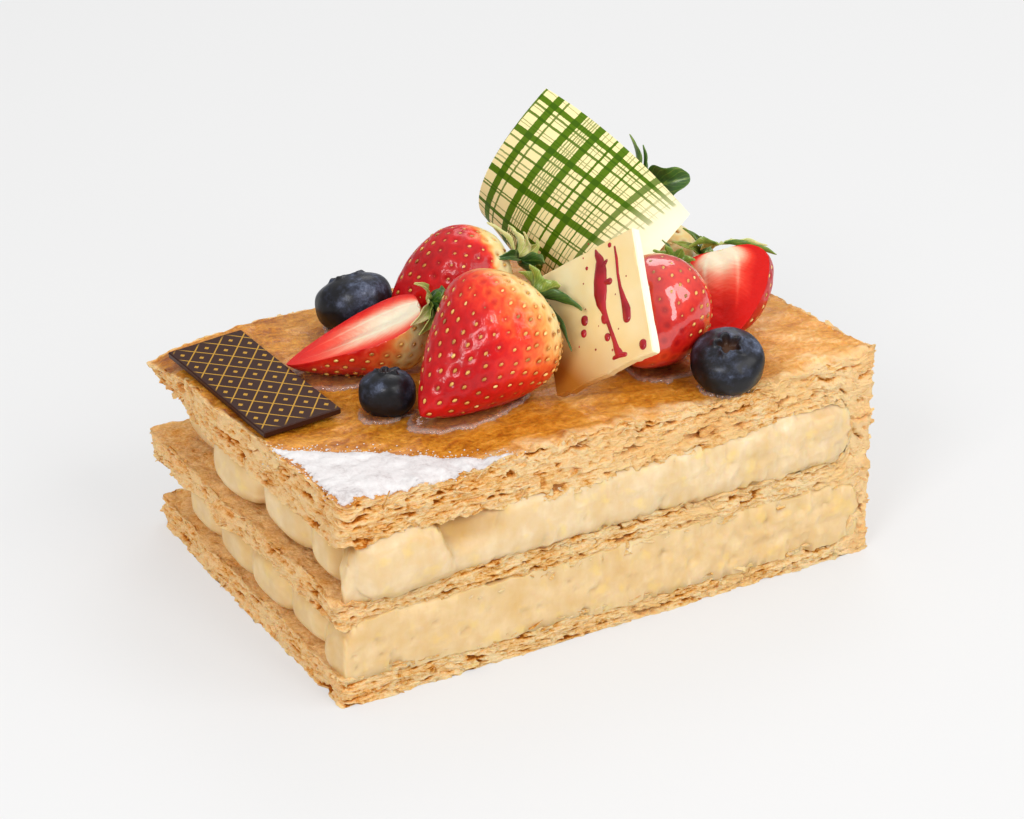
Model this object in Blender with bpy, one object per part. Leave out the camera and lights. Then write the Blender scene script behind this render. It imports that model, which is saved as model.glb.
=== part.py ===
"""Mille-feuille cake: three baked puff-pastry sheets, two layers of piped custard and a fruit topping.

Built in millimetres round the middle of the slab and scaled to metres at the end. +Z is up, +X runs along
the long side and -Y is the long side that was cut clean.
"""

import math

import bmesh
import bpy
from mathutils import Matrix, Vector, noise
from mathutils.bvhtree import BVHTree

MM = 0.001
GAP = 0.3  # clearance between two pieces that touch
HELD_HEIGHT = 90.0  # a topping is made at this height, then set down on the pastry
NOISE_STEP = 7.3  # how far apart two seeds read the noise

# Slab: plan corners of each sheet, front left, front right, rear right, rear left
SHEET_CORNERS = {
    "pastry_bottom": ((-75.2, -49.4), (74.0, -52.4), (75.5, 50.0), (-73.2, 54.4)),
    "pastry_middle": ((-76.2, -48.8), (75.6, -50.0), (77.0, 51.0), (-75.0, 57.0)),
    "pastry_top": ((-74.2, -49.0), (76.6, -48.0), (78.0, 52.0), (-75.8, 52.6)),
}

# Height of each layer's boundary at the left end and at the right end
SLAB_LENGTH = 150.0
LEVEL_HEIGHTS = (
    (0.0, 0.0),
    (7.3, 6.0),
    (19.8, 17.8),
    (26.6, 26.0),
    (40.4, 41.6),
    (50.8, 52.2),
)
LEVEL_WAVE = 0.55
WAVE_LENGTH = 38.0
BASE_LEVEL = 0
TOP_LEVEL = 5

# The rear left corner of the top sheet sags
SAG_DEPTH = 5.0
SAG_REACH = 34.0
SAG_CORNER = (-76.0, 52.0)
SAG_UNDERCUT = 4.5  # how far the underside of that corner recedes

# Puffed lips at the right end, where the sheets nearly meet beyond the custard: rise of each boundary
LIP_START = 69.8
LIP_RUN = 2.8
LIP_RISES = {1: 5.6, 2: -5.0, 3: 7.4, 4: -5.8}
LIP_FRONT = -50.0
LIP_REACH = 55.0
LIP_LEAST = 0.35

# Relief of the baked sheets
SHEET_SPANS = (22, 14, 4)
SHEET_LAST_CUT = 0.972  # the last cut across the length stands at this share, where the lips begin
FLAKE_DEPTH = {"front": 0.5, "other": 1.2}
FLAKE_LENGTH = 9.0
FLAKE_SHARE = 0.6
FLAKE_STRETCH = 40.0
EDGE_WANDER = 0.9
FRONT_WANDER = 0.3  # share of the wander that the cut front shows
CORNER_TURN = 1.7  # how much faster the relief runs along the ends than along the front
EDGE_WANDER_LENGTH = 26.0
BLISTER_HEIGHT = 0.35
BLISTER_LENGTH = 11.0
LEDGES = (0.2, -0.75, 0.3, -0.9, 0.0)

# Piped custard rows, from the rear row to the front row, which is cut flush
CUSTARD_ROWS = {
    "custard_lower": {
        "levels": (1, 2), "half_width": 11.6, "front_dome": 6.5,
        "centres": (30.6, 10.0, -9.0, -28.5, -47.5),
        "lefts": (-72.6, -74.0, -74.6, -74.0, -75.0),
        "rights": (69.2, 68.0, 69.0, 67.8, 68.8),
    },
    "custard_upper": {
        "levels": (3, 4), "half_width": 13.6, "front_dome": 12.0,
        "centres": (37.5, 11.0, -15.5, -38.5, -56.0),
        "lefts": (-68.0, -73.6, -73.0, -72.6, -74.6),
        "rights": (68.0, 69.2, 67.6, 69.0, 69.4),
    },
}
ROW_DOME = 6.5
ROW_SQUARENESS = 3.0
ROW_END_STEPS = ((0.62, 0.86), (0.93, 0.55))  # share of the dome covered, share of the full section there
ROW_SECTION_POINTS = 12
ROW_STATIONS = 8
CUSTARD_FRONT = -48.6

# Dark chocolate plaque
PLAQUE_SIZE = (20.2, 53.0, 1.6)
PLAQUE_BEVEL = 0.25
PLAQUE_PLACE = (-63.3, 16.6)
PLAQUE_TURN = 0.3
PLAQUE_TILT = 3.4  # up towards +X, as the pastry sags at its end

# White chocolate tile, standing on one corner
TILE_SIZE = (31.6, 2.6, 31.4)
TILE_BEVEL = 0.35
TILE_CORNER = (-5.8, -29.4)
TILE_ALONG = (0.370, -0.721, 0.586)
TILE_FACE = (-0.894, -0.095, 0.438)

# Curled sheet of patterned white chocolate: a flat square bent round an axis that is turned from its sides
SHARD_REACH = ((-24.5, 24.5), (-27.0, 24.75))  # its two sides, measured from the middle
SHARD_BOW = 2.0  # how far the upper side swells in its middle
SHARD_THICKNESS = 1.7
SHARD_CURL_RADIUS = 23.3
SHARD_MIDDLE = (26.35, 18.6, 75.52)
SHARD_AXIS = (-0.284, 0.704, 0.651)
SHARD_OUTWARD = (-0.787, -0.559, 0.261)
SHARD_EDGE_TURN = -76.2
SHARD_FOOT_HEIGHT = 52.2
SHARD_SPANS = 10

# Strawberries: place of the middle, axis from head to tip, size and outline of the turned shape.
# Each sepal is its angle round the head, its length, its lift away from the berry and its width.
STRAWBERRIES = {
    "strawberry_rear": {
        "place": (-5.0, 20.6), "azimuth": 162, "elevation": -13, "length": 32.5, "radius": 13.4,
        "shoulder": 0.46, "taper": 1.57, "bluntness": 0.82,
        "sepals": (
            (52, 14.5, -12, 3.4), (100, 12.0, 42, 4.6), (145, 11.0, 20, 4.4), (190, 11.5, 8, 4.4),
            (240, 13.0, 5, 4.6), (275, 13.4, 20, 4.6), (315, 11.8, -28, 4.0), (10, 12.6, 12, 3.6),
        ),
    },
    "strawberry_left_half": {
        "place": (-37.9, 11.2), "azimuth": 157, "elevation": -22.5, "length": 36.7, "radius": 13.0,
        "shoulder": 0.26, "taper": 1.44, "bluntness": 0.74, "cut_roll": -2,
        "sepals": (
            (318, 12.4, 2, 3.6), (283, 12.0, 18, 4.4), (248, 12.4, -14, 4.6), (212, 11.0, 4, 4.4),
            (176, 10.5, 10, 4.4), (136, 10.0, 6, 4.2),
        ),
    },
    "strawberry_front": {
        "place": (-23.0, -21.9), "azimuth": -165.8, "elevation": -26.3, "length": 41.6, "radius": 16.3,
        "shoulder": 0.30, "taper": 1.25, "bluntness": 0.77,
        "sepals": (
            (302, 8.0, 30, 4.4), (268, 12.4, 8, 4.4), (234, 15.0, -20, 4.2), (196, 10.0, -36, 4.4),
            (156, 10.0, -36, 4.6), (114, 11.0, -10, 4.8), (66, 12.0, 20, 5.2), (16, 12.0, 24, 5.0),
        ),
    },
    "strawberry_middle": {
        "place": (25.7, -23.8), "azimuth": -143, "elevation": -26, "length": 30.8, "radius": 13.9,
        "shoulder": 0.46, "taper": 1.6, "bluntness": 0.69,
        "sepals": (
            (112, 12.5, 54, 4.2), (158, 12.0, 30, 4.6), (200, 13.0, 44, 4.4), (246, 11.0, 8, 4.6),
            (290, 11.0, 10, 4.6), (335, 11.0, 14, 4.4), (20, 11.0, 10, 4.4), (66, 11.5, 22, 4.4),
        ),
    },
    "strawberry_right_half": {
        "place": (51.1, -17.2), "azimuth": -121, "elevation": -42.7, "length": 25.8, "radius": 13.0,
        "shoulder": 0.26, "taper": 2.1, "bluntness": 0.70, "cut_roll": -30,
        "sepals": (
            (118, 11.6, 4, 4.8), (151, 12.0, 14, 4.8), (183, 12.2, 24, 5.0), (215, 13.0, 12, 4.8),
            (246, 14.4, -10, 4.6), (86, 10.0, 8, 4.0),
        ),
    },
    "strawberry_tall": {
        "place": (44.6, 35.2), "azimuth": 169.5, "elevation": -36, "length": 33.0, "radius": 12.2,
        "shoulder": 0.34, "taper": 1.5, "bluntness": 0.75,
        "sepals": (
            (18, 15.6, 34, 5.0), (52, 13.0, 48, 4.6), (267, 17.3, 42, 9.0), (316, 12.0, 16, 4.8),
            (216, 12.0, 12, 4.8), (170, 12.0, 14, 4.8), (132, 12.0, 12, 4.8), (94, 12.0, 16, 4.4),
        ),
    },
    "strawberry_low": {
        "place": (55.2, 16.0), "azimuth": 130, "elevation": -10, "length": 21.0, "radius": 8.8,
        "shoulder": 0.40, "taper": 1.7, "bluntness": 0.75,
        "sepals": (
            (320, 14.0, 8, 4.2), (280, 9.0, 20, 4.6), (230, 8.5, 16, 4.0), (185, 8.0, 12, 4.0),
            (140, 8.0, 10, 4.0), (95, 8.0, 10, 4.0), (50, 8.5, 16, 4.0), (8, 9.0, 24, 4.0),
        ),
    },
}
BERRY_SEGMENTS = 16
BERRY_RINGS = 12
BERRY_LUMPS = 0.35
BERRY_LUMP_LENGTH = 12.0
BERRY_LUMP_RING = 9.0  # radius of the ring on which the lumps' noise is read
BERRY_LUMP_STEP = 3.0  # how far apart two berries read it
BERRY_LUMP_FADE = 5.0  # the lumps fade out where the berry is thinner than this
HEAD_DIMPLE = 0.05
HEAD_DIMPLE_REACH = 0.6

# Sepals: outline of a leaf as shares of its length and of its width, after the round core that joins them
SEPAL_OUTLINE = ((0.0, 0.42), (0.42, 1.0), (0.76, 0.66))
SEPAL_THICKNESS = 0.5
SEPAL_BOW = 0.8
SEPAL_KEEL = 0.45
CALYX_CORE = 2.6
CALYX_CLEARANCE = 0.85

# Blueberries: place, equatorial and polar radius, direction of the crown
BLUEBERRIES = {
    "blueberry_rear": {
        "place": (-26.3, 33.6), "radius": 10.0, "polar": 6.7, "azimuth": 97, "elevation": 63,
    },
    "blueberry_front": {
        "place": (-42.2, -12.6), "radius": 6.8, "polar": 5.5, "azimuth": 65, "elevation": 81,
    },
    "blueberry_right": {
        "place": (34.5, -42.7), "radius": 9.0, "polar": 6.1, "azimuth": -125, "elevation": 68,
    },
}
BLUEBERRY_SEGMENTS = 14
BLUEBERRY_RINGS = 10
CROWN_RADIUS = 0.34
CROWN_RIM = 0.07
CROWN_RIM_PLACE = 1.3  # radius of the rim, as a share of the crown's
CROWN_RIM_WIDTH = 0.12
CROWN_DEPTH = 0.22

COLOURS = {
    "pastry": ("#D9A25C", 0.75),
    "custard": ("#F3DA9B", 0.45),
    "dark_chocolate": ("#3B2320", 0.40),
    "white_chocolate": ("#F4E3B5", 0.35),
    "strawberry": ("#C5161B", 0.25),
    "calyx": ("#5E8A2C", 0.55),
    "blueberry": ("#2C3550", 0.55),
}


def clear_scene():
    """Removes what the startup scene holds."""
    for thing in list(bpy.data.objects):
        bpy.data.objects.remove(thing, do_unlink=True)


def linear(channel):
    """One sRGB channel, 0 to 1, as linear light."""
    if channel <= 0.04045:
        return channel / 12.92
    return ((channel + 0.055) / 1.055) ** 2.4


def material(name):
    """A plain finish in the piece's colour, made once for each kind."""
    found = bpy.data.materials.get(name)
    if found:
        return found
    colour, roughness = COLOURS[name]
    channels = [linear(int(colour[i:i + 2], 16) / 255) for i in (1, 3, 5)]
    made = bpy.data.materials.new(name)
    made.use_nodes = True
    shader = made.node_tree.nodes["Principled BSDF"]
    shader.inputs["Base Color"].default_value = (*channels, 1.0)
    shader.inputs["Roughness"].default_value = roughness
    shader.inputs["Metallic"].default_value = 0.0
    return made


def add_object(name, mesh, kind, smooth_below=50.0):
    """Puts a finished bmesh, still in millimetres, into the cake's collection as a named object."""
    bmesh.ops.recalc_face_normals(mesh, faces=mesh.faces)
    data = bpy.data.meshes.new(name)
    mesh.to_mesh(data)
    mesh.free()
    data.materials.append(material(kind))
    data.shade_smooth()
    data.set_sharp_from_angle(angle=math.radians(smooth_below))
    thing = bpy.data.objects.new(name, data)
    bpy.data.collections["mille_feuille"].objects.link(thing)
    return thing


def ripple(x, y, length, seed):
    """Smooth noise between about -1 and 1 whose bumps are about the given length across."""
    return 2.0 * noise.noise(Vector((x / length, y / length, NOISE_STEP * seed)))


def level(index, x, y):
    """Height of a layer boundary over a point of the plan."""
    low, high = LEVEL_HEIGHTS[index]
    if index == BASE_LEVEL:
        return low
    share = 0.5 + x / SLAB_LENGTH
    height = low + (high - low) * share + LEVEL_WAVE * ripple(x, y, WAVE_LENGTH, index)
    lip = min(1.0, max(0.0, (x - LIP_START) / LIP_RUN))
    if lip and index in LIP_RISES:
        near = LIP_LEAST + (1.0 - LIP_LEAST) * max(0.0, 1.0 - (y - LIP_FRONT) / LIP_REACH)
        height += LIP_RISES[index] * lip * near
    if index == TOP_LEVEL:
        away = math.dist((x, y), SAG_CORNER) / SAG_REACH
        height -= SAG_DEPTH * max(0.0, 1.0 - away) ** 2
    return height


def in_plan(corners, u, v):
    """Point of the plan at shares u and v of a four-cornered outline."""
    front = Vector(corners[0]).lerp(Vector(corners[1]), u)
    rear = Vector(corners[3]).lerp(Vector(corners[2]), u)
    return front.lerp(rear, v)


def block(spans):
    """A unit cube from 0 to 1, cut into spans along each axis."""
    mesh = bmesh.new()
    bmesh.ops.create_cube(mesh, size=1.0, matrix=Matrix.Translation((0.5, 0.5, 0.5)))
    for axis, count in enumerate(spans):
        for step in range(1, count):
            place = Vector((0.0, 0.0, 0.0))
            place[axis] = step / count
            normal = Vector((0.0, 0.0, 0.0))
            normal[axis] = 1.0
            geometry = mesh.verts[:] + mesh.edges[:] + mesh.faces[:]
            bmesh.ops.bisect_plane(mesh, geom=geometry, dist=1e-6, plane_co=place, plane_no=normal)
    return mesh


def pastry_sheet(name, levels, seed):
    """One baked sheet: a slab whose sides step in and out as flaky ledges."""
    corners = SHEET_CORNERS[name]
    mesh = block(SHEET_SPANS)
    last_cut = 1.0 - 1.0 / SHEET_SPANS[0]
    for vertex in mesh.verts:
        u, v, w = vertex.co
        share = u * SHEET_LAST_CUT / last_cut if u < last_cut + 1e-4 else u
        x, y = in_plan(corners, share, v)
        outward = Vector((0.0, 0.0))
        depth = FLAKE_DEPTH["other"]
        if u < 1e-4 or u > 1 - 1e-4:
            outward.x = 1.0 if u > 0.5 else -1.0
        if v < 1e-4 or v > 1 - 1e-4:
            outward.y = 1.0 if v > 0.5 else -1.0
            depth = FLAKE_DEPTH["front"] if v < 0.5 else depth
        at_side = outward.length > 0
        bottom = level(levels[0], x, y)
        top = level(levels[1], x, y)
        if at_side:
            along = x + CORNER_TURN * y
            ledge = LEDGES[round(w * SHEET_SPANS[2])]
            flake = ledge + FLAKE_SHARE * ripple(along, FLAKE_STRETCH * w, FLAKE_LENGTH, seed)
            wander = EDGE_WANDER * ripple(along, 0.0, EDGE_WANDER_LENGTH, seed + 3)
            step = depth * flake + (wander if depth != FLAKE_DEPTH["front"] else FRONT_WANDER * wander)
            x += outward.x * step
            y += outward.y * step
            if levels[1] == TOP_LEVEL:
                near = max(0.0, 1.0 - math.dist((x, y), SAG_CORNER) / SAG_REACH)
                x -= outward.x * SAG_UNDERCUT * near * (1.0 - w)
        height = bottom + (top - bottom) * w
        open_top = levels[1] == TOP_LEVEL and w > 1 - 1e-4
        if open_top:
            height += BLISTER_HEIGHT * ripple(x, y, BLISTER_LENGTH, seed + 5)
        vertex.co = (x, y, height)
    return add_object(name, mesh, "pastry", smooth_below=35.0)


def custard_row(setting, number):
    """One piped row: a rounded bar that runs the slab's length, domed at both ends."""
    mesh = bmesh.new()
    centre = setting["centres"][number]
    half_width = setting["half_width"]
    levels = setting["levels"]
    front = number == len(setting["centres"]) - 1
    dome = setting["front_dome"] if front else ROW_DOME
    left = setting["lefts"][number]
    right = setting["rights"][number]
    stations = []
    for step in range(ROW_STATIONS):
        share = step / (ROW_STATIONS - 1)
        stations.append((left + dome + share * (right - left - dome - ROW_DOME), 1.0))
    for reach, size in ROW_END_STEPS:
        stations.insert(0, (left + dome * (1 - reach), size))
        stations.append((right - ROW_DOME * (1 - reach), size))
    rings = []
    for x, size in stations:
        ring = []
        for corner in range(ROW_SECTION_POINTS):
            angle = math.tau * (corner + 0.5) / ROW_SECTION_POINTS
            side = math.copysign(abs(math.cos(angle)) ** (2 / ROW_SQUARENESS), math.cos(angle))
            lift = math.copysign(abs(math.sin(angle)) ** (2 / ROW_SQUARENESS), math.sin(angle))
            y = centre + half_width * size * side
            if front:
                y = max(y, CUSTARD_FRONT)
            low = level(levels[0], x, y) + GAP
            high = level(levels[1], x, y) - GAP
            z = 0.5 * (low + high) + 0.5 * (high - low) * lift * size
            if front and x < 0:
                z = low + 0.5 * (high - low) * (1.0 + lift) * size
            ring.append(mesh.verts.new((x, y, z)))
        rings.append(ring)
    for first, second in zip(rings, rings[1:]):
        for corner in range(ROW_SECTION_POINTS):
            after = (corner + 1) % ROW_SECTION_POINTS
            mesh.faces.new((first[corner], first[after], second[after], second[corner]))
    mesh.faces.new(rings[0])
    mesh.faces.new(rings[-1])
    bmesh.ops.recalc_face_normals(mesh, faces=mesh.faces)
    return mesh


def custard(name, collection):
    """The rows of one layer, joined into one body."""
    setting = CUSTARD_ROWS[name]
    pieces = []
    for number in range(len(setting["centres"])):
        mesh = custard_row(setting, number)
        data = bpy.data.meshes.new(f"{name}_row_{number}")
        mesh.to_mesh(data)
        mesh.free()
        row = bpy.data.objects.new(data.name, data)
        collection.objects.link(row)
        pieces.append(row)
    joined = pieces[0]
    others = bpy.data.collections.new(f"{name}_rows")
    bpy.context.scene.collection.children.link(others)
    for row in pieces[1:]:
        others.objects.link(row)
    union = joined.modifiers.new("join rows", "BOOLEAN")
    union.operation = "UNION"
    union.operand_type = "COLLECTION"
    union.collection = others
    union.solver = "EXACT"
    evaluated = joined.evaluated_get(bpy.context.evaluated_depsgraph_get())
    mesh = bmesh.new()
    mesh.from_mesh(evaluated.to_mesh())
    evaluated.to_mesh_clear()
    for row in pieces:
        bpy.data.objects.remove(row, do_unlink=True)
    bpy.data.collections.remove(others)
    return add_object(name, mesh, "custard", smooth_below=60.0)


def plate(size, bevel):
    """A thin block with its edges taken off."""
    mesh = bmesh.new()
    bmesh.ops.create_cube(mesh, size=1.0)
    bmesh.ops.scale(mesh, vec=size, verts=mesh.verts)
    bmesh.ops.bevel(mesh, geom=mesh.edges[:], offset=bevel, segments=1, profile=0.5, affect="EDGES")
    return mesh


def keep_side(mesh, place, normal, tolerance):
    """Cuts a mesh by a plane, drops what lies on the normal's side and closes the cut with one face."""
    geometry = mesh.verts[:] + mesh.edges[:] + mesh.faces[:]
    cut = bmesh.ops.bisect_plane(
        mesh, geom=geometry, dist=tolerance, plane_co=place, plane_no=normal, clear_outer=True
    )
    rim = [item for item in cut["geom_cut"] if isinstance(item, bmesh.types.BMEdge)]
    bmesh.ops.contextual_create(mesh, geom=rim)


def plaque():
    """The dark chocolate plaque, laid flat by the left end."""
    mesh = plate(PLAQUE_SIZE, PLAQUE_BEVEL)
    tilt = Matrix.Rotation(-math.radians(PLAQUE_TILT), 4, "Y")
    turn = Matrix.Rotation(math.radians(PLAQUE_TURN), 4, "Z")
    lift = Matrix.Translation((PLAQUE_PLACE[0], PLAQUE_PLACE[1], HELD_HEIGHT))
    bmesh.ops.transform(mesh, matrix=lift @ tilt @ turn, verts=mesh.verts)
    return add_object("dark_chocolate_plaque", mesh, "dark_chocolate", smooth_below=30.0)


def tile():
    """The white chocolate tile, standing on one corner and leaning back."""
    mesh = plate(TILE_SIZE, TILE_BEVEL)
    along = Vector(TILE_ALONG).normalized()
    back = -Vector(TILE_FACE)
    back = (back - back.dot(along) * along).normalized()
    up = along.cross(back)
    turn = Matrix((along, back, up)).transposed().to_4x4()
    corner = Vector((-0.5 * TILE_SIZE[0], -0.5 * TILE_SIZE[1], -0.5 * TILE_SIZE[2]))
    lift = Matrix.Translation((TILE_CORNER[0], TILE_CORNER[1], HELD_HEIGHT))
    bmesh.ops.transform(mesh, matrix=lift @ turn @ Matrix.Translation(-corner), verts=mesh.verts)
    return add_object("white_chocolate_tile", mesh, "white_chocolate", smooth_below=30.0)


def shard():
    """The curled sheet: a flat square bent round a cylinder, cut off level where it stands."""
    axis = Vector(SHARD_AXIS).normalized()
    outward = Vector(SHARD_OUTWARD)
    outward = (outward - outward.dot(axis) * axis).normalized()
    across = axis.cross(outward)
    edge_turn = math.radians(SHARD_EDGE_TURN)
    mesh = bmesh.new()
    bmesh.ops.create_grid(mesh, x_segments=SHARD_SPANS, y_segments=SHARD_SPANS, size=0.5)
    for vertex in mesh.verts:
        shares = (vertex.co.x + 0.5, vertex.co.y + 0.5)
        a, b = (low + share * (high - low) for share, (low, high) in zip(shares, SHARD_REACH))
        if b > 0:
            b += SHARD_BOW * b / SHARD_REACH[1][1] * (1.0 - (a / SHARD_REACH[0][1]) ** 2)
        flat_across = a * math.cos(edge_turn) - b * math.sin(edge_turn)
        flat_along = a * math.sin(edge_turn) + b * math.cos(edge_turn)
        angle = flat_across / SHARD_CURL_RADIUS
        bent = across * math.sin(angle) + outward * (math.cos(angle) - 1.0)
        vertex.co = Vector(SHARD_MIDDLE) + axis * flat_along + SHARD_CURL_RADIUS * bent
    bmesh.ops.recalc_face_normals(mesh, faces=mesh.faces)
    outer = mesh.faces[:]
    if sum((face.normal.dot(outward) for face in outer)) < 0:
        bmesh.ops.reverse_faces(mesh, faces=outer)
    bmesh.ops.solidify(mesh, geom=mesh.verts[:] + mesh.edges[:] + outer, thickness=SHARD_THICKNESS)
    keep_side(mesh, (0, 0, SHARD_FOOT_HEIGHT), (0, 0, -1), 1e-5)
    return add_object("patterned_chocolate_sheet", mesh, "white_chocolate", smooth_below=40.0)


def berry_radius(share, setting):
    """Radius of a strawberry at a share of its length from head to tip."""
    shoulder = setting["shoulder"]
    if share < shoulder:
        return setting["radius"] * math.sqrt(1.0 - ((shoulder - share) / shoulder) ** 2)
    run = (share - shoulder) / (1.0 - shoulder)
    return setting["radius"] * (1.0 - run ** setting["taper"]) ** setting["bluntness"]


def direction(setting):
    """Unit vector at the azimuth and elevation of a setting."""
    azimuth = math.radians(setting["azimuth"])
    elevation = math.radians(setting["elevation"])
    level_part = Vector((math.cos(azimuth), math.sin(azimuth), 0.0)) * math.cos(elevation)
    return level_part + Vector((0.0, 0.0, math.sin(elevation)))


def berry_frame(setting):
    """Turn that takes local +Z from head to tip and local +X up, rolled for a cut half."""
    tip = direction(setting)
    side = Vector((-tip.y, tip.x, 0.0)).normalized()
    up = tip.cross(side)
    if up.z < 0:
        up = -up
    roll = math.radians(setting.get("cut_roll", 0))
    face = math.cos(roll) * up + math.sin(roll) * side
    return Matrix((face, tip.cross(face), tip)).transposed().to_4x4()


def strawberry(name, number):
    """A lumpy turned body with a dimpled head, whole or cut in half along its axis."""
    setting = STRAWBERRIES[name]
    length = setting["length"]
    mesh = bmesh.new()
    bmesh.ops.create_uvsphere(mesh, u_segments=BERRY_SEGMENTS, v_segments=BERRY_RINGS, radius=1.0)
    for vertex in mesh.verts:
        share = min(1.0, max(0.0, 0.5 * (1.0 + vertex.co.z)))
        around = math.atan2(vertex.co.y, vertex.co.x)
        radius = berry_radius(share, setting)
        round_x = BERRY_LUMP_RING * math.cos(around) + BERRY_LUMP_STEP * number
        round_y = BERRY_LUMP_RING * math.sin(around) + share * length
        lump = BERRY_LUMPS * ripple(round_x, round_y, BERRY_LUMP_LENGTH, number)
        radius = max(0.0, radius + lump * min(1.0, radius / BERRY_LUMP_FADE))
        dimple = 0.0
        if share < 0.5:
            near_axis = 1.0 - radius / (HEAD_DIMPLE_REACH * setting["radius"])
            dimple = HEAD_DIMPLE * length * max(0.0, near_axis)
        along = (share - 0.5) * length + dimple
        vertex.co = (radius * math.cos(around), radius * math.sin(around), along)
    if "cut_roll" in setting:
        keep_side(mesh, (0, 0, 0), (1, 0, 0), 1e-4)
    lift = Matrix.Translation((setting["place"][0], setting["place"][1], HELD_HEIGHT))
    bmesh.ops.transform(mesh, matrix=lift @ berry_frame(setting), verts=mesh.verts)
    return add_object(name, mesh, "strawberry")


def head_surface(setting, out):
    """How far a strawberry's shoulder lies behind its head, at a distance out from the axis."""
    if out >= setting["radius"]:
        return math.inf
    depth = 1.0 - math.sqrt(1.0 - (out / setting["radius"]) ** 2)
    return depth * setting["shoulder"] * setting["length"]


def calyx(berry_name, middle):
    """The sepals on a strawberry's head: thin keeled leaves from one core, both faces alike."""
    setting = STRAWBERRIES[berry_name]
    mesh = bmesh.new()
    hub = mesh.verts.new((0.0, 0.0, -CALYX_CLEARANCE))
    bases = []
    for angle, length, lift, width in sorted(setting["sepals"]):
        turn = Matrix.Rotation(math.radians(angle), 4, "Z")
        slope = math.tan(math.radians(lift))
        rows = []
        for share, fullness in (*SEPAL_OUTLINE, (1.0, 0.0)):
            out = CALYX_CORE + share * (length * math.cos(math.radians(lift)) - CALYX_CORE)
            rise = -CALYX_CLEARANCE - slope * (out - CALYX_CORE) - SEPAL_BOW * math.sin(math.pi * share)
            row = []
            for side in (-1, 0, 1) if fullness else (0,):
                away = 0.5 * side * width * fullness
                reach = math.hypot(out, away)
                z = rise + (SEPAL_KEEL * fullness if side == 0 else 0.0)
                z = min(z, head_surface(setting, reach) - CALYX_CLEARANCE)
                row.append(mesh.verts.new(turn @ Vector((out, away, z))))
            rows.append(row)
        for first, second in zip(rows, rows[1:]):
            if len(second) == 1:
                mesh.faces.new((first[0], first[1], second[0]))
                mesh.faces.new((first[1], first[2], second[0]))
                continue
            mesh.faces.new((first[0], first[1], second[1], second[0]))
            mesh.faces.new((first[1], first[2], second[2], second[1]))
        mesh.faces.new((hub, rows[0][1], rows[0][0]))
        mesh.faces.new((hub, rows[0][2], rows[0][1]))
        bases.append(rows[0])
    joins = list(zip(bases, bases[1:]))
    if "cut_roll" not in setting:
        joins.append((bases[-1], bases[0]))
    for first, second in joins:
        mesh.faces.new((hub, first[2], second[0]))
    bmesh.ops.triangulate(mesh, faces=mesh.faces)
    mesh.verts.index_update()
    under = mesh.verts[:]
    skin = mesh.faces[:]
    over = [mesh.verts.new(corner.co + Vector((0.0, 0.0, -SEPAL_THICKNESS))) for corner in under]
    rim = [edge for edge in mesh.edges if edge.is_boundary]
    for face in skin:
        mesh.faces.new([over[corner.index] for corner in face.verts])
    for edge in rim:
        first, second = edge.verts
        mesh.faces.new((first, second, over[second.index]))
        mesh.faces.new((first, over[second.index], over[first.index]))
    head = Matrix.Translation((0.0, 0.0, -0.5 * setting["length"]))
    place = Matrix.Translation(middle) @ berry_frame(setting) @ head
    bmesh.ops.transform(mesh, matrix=place, verts=mesh.verts)
    return add_object(berry_name.replace("strawberry", "calyx"), mesh, "calyx", smooth_below=80.0)


def blueberry(name):
    """A flattened ball with a crater at its crown."""
    setting = BLUEBERRIES[name]
    mesh = bmesh.new()
    bmesh.ops.create_uvsphere(mesh, u_segments=BLUEBERRY_SEGMENTS, v_segments=BLUEBERRY_RINGS, radius=1.0)
    for vertex in mesh.verts:
        out = math.hypot(vertex.co.x, vertex.co.y)
        z = vertex.co.z
        if z > 0 and out < CROWN_RADIUS:
            z -= CROWN_DEPTH * (1.0 - (out / CROWN_RADIUS) ** 2)
        elif z > 0:
            z += CROWN_RIM * math.exp(-(((out - CROWN_RIM_PLACE * CROWN_RADIUS) / CROWN_RIM_WIDTH) ** 2))
        wide = setting["radius"]
        vertex.co = (vertex.co.x * wide, vertex.co.y * wide, z * setting["polar"])
    turn = Vector((0, 0, 1)).rotation_difference(direction(setting)).to_matrix().to_4x4()
    lift = Matrix.Translation((setting["place"][0], setting["place"][1], HELD_HEIGHT))
    bmesh.ops.transform(mesh, matrix=lift @ turn, verts=mesh.verts)
    return add_object(name, mesh, "blueberry")


def set_down(thing, sheet):
    """Lowers a topping until it is one gap above the sheet under it."""
    tree = BVHTree.FromPolygons(
        [corner.co for corner in sheet.data.vertices], [face.vertices for face in sheet.data.polygons]
    )
    drop = math.inf
    for corner in thing.data.vertices:
        place = tree.ray_cast(corner.co, Vector((0, 0, -1)))[0]
        if place is not None:
            drop = min(drop, corner.co.z - place.z)
    thing.data.transform(Matrix.Translation((0, 0, GAP - drop)))
    return GAP - drop


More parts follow.
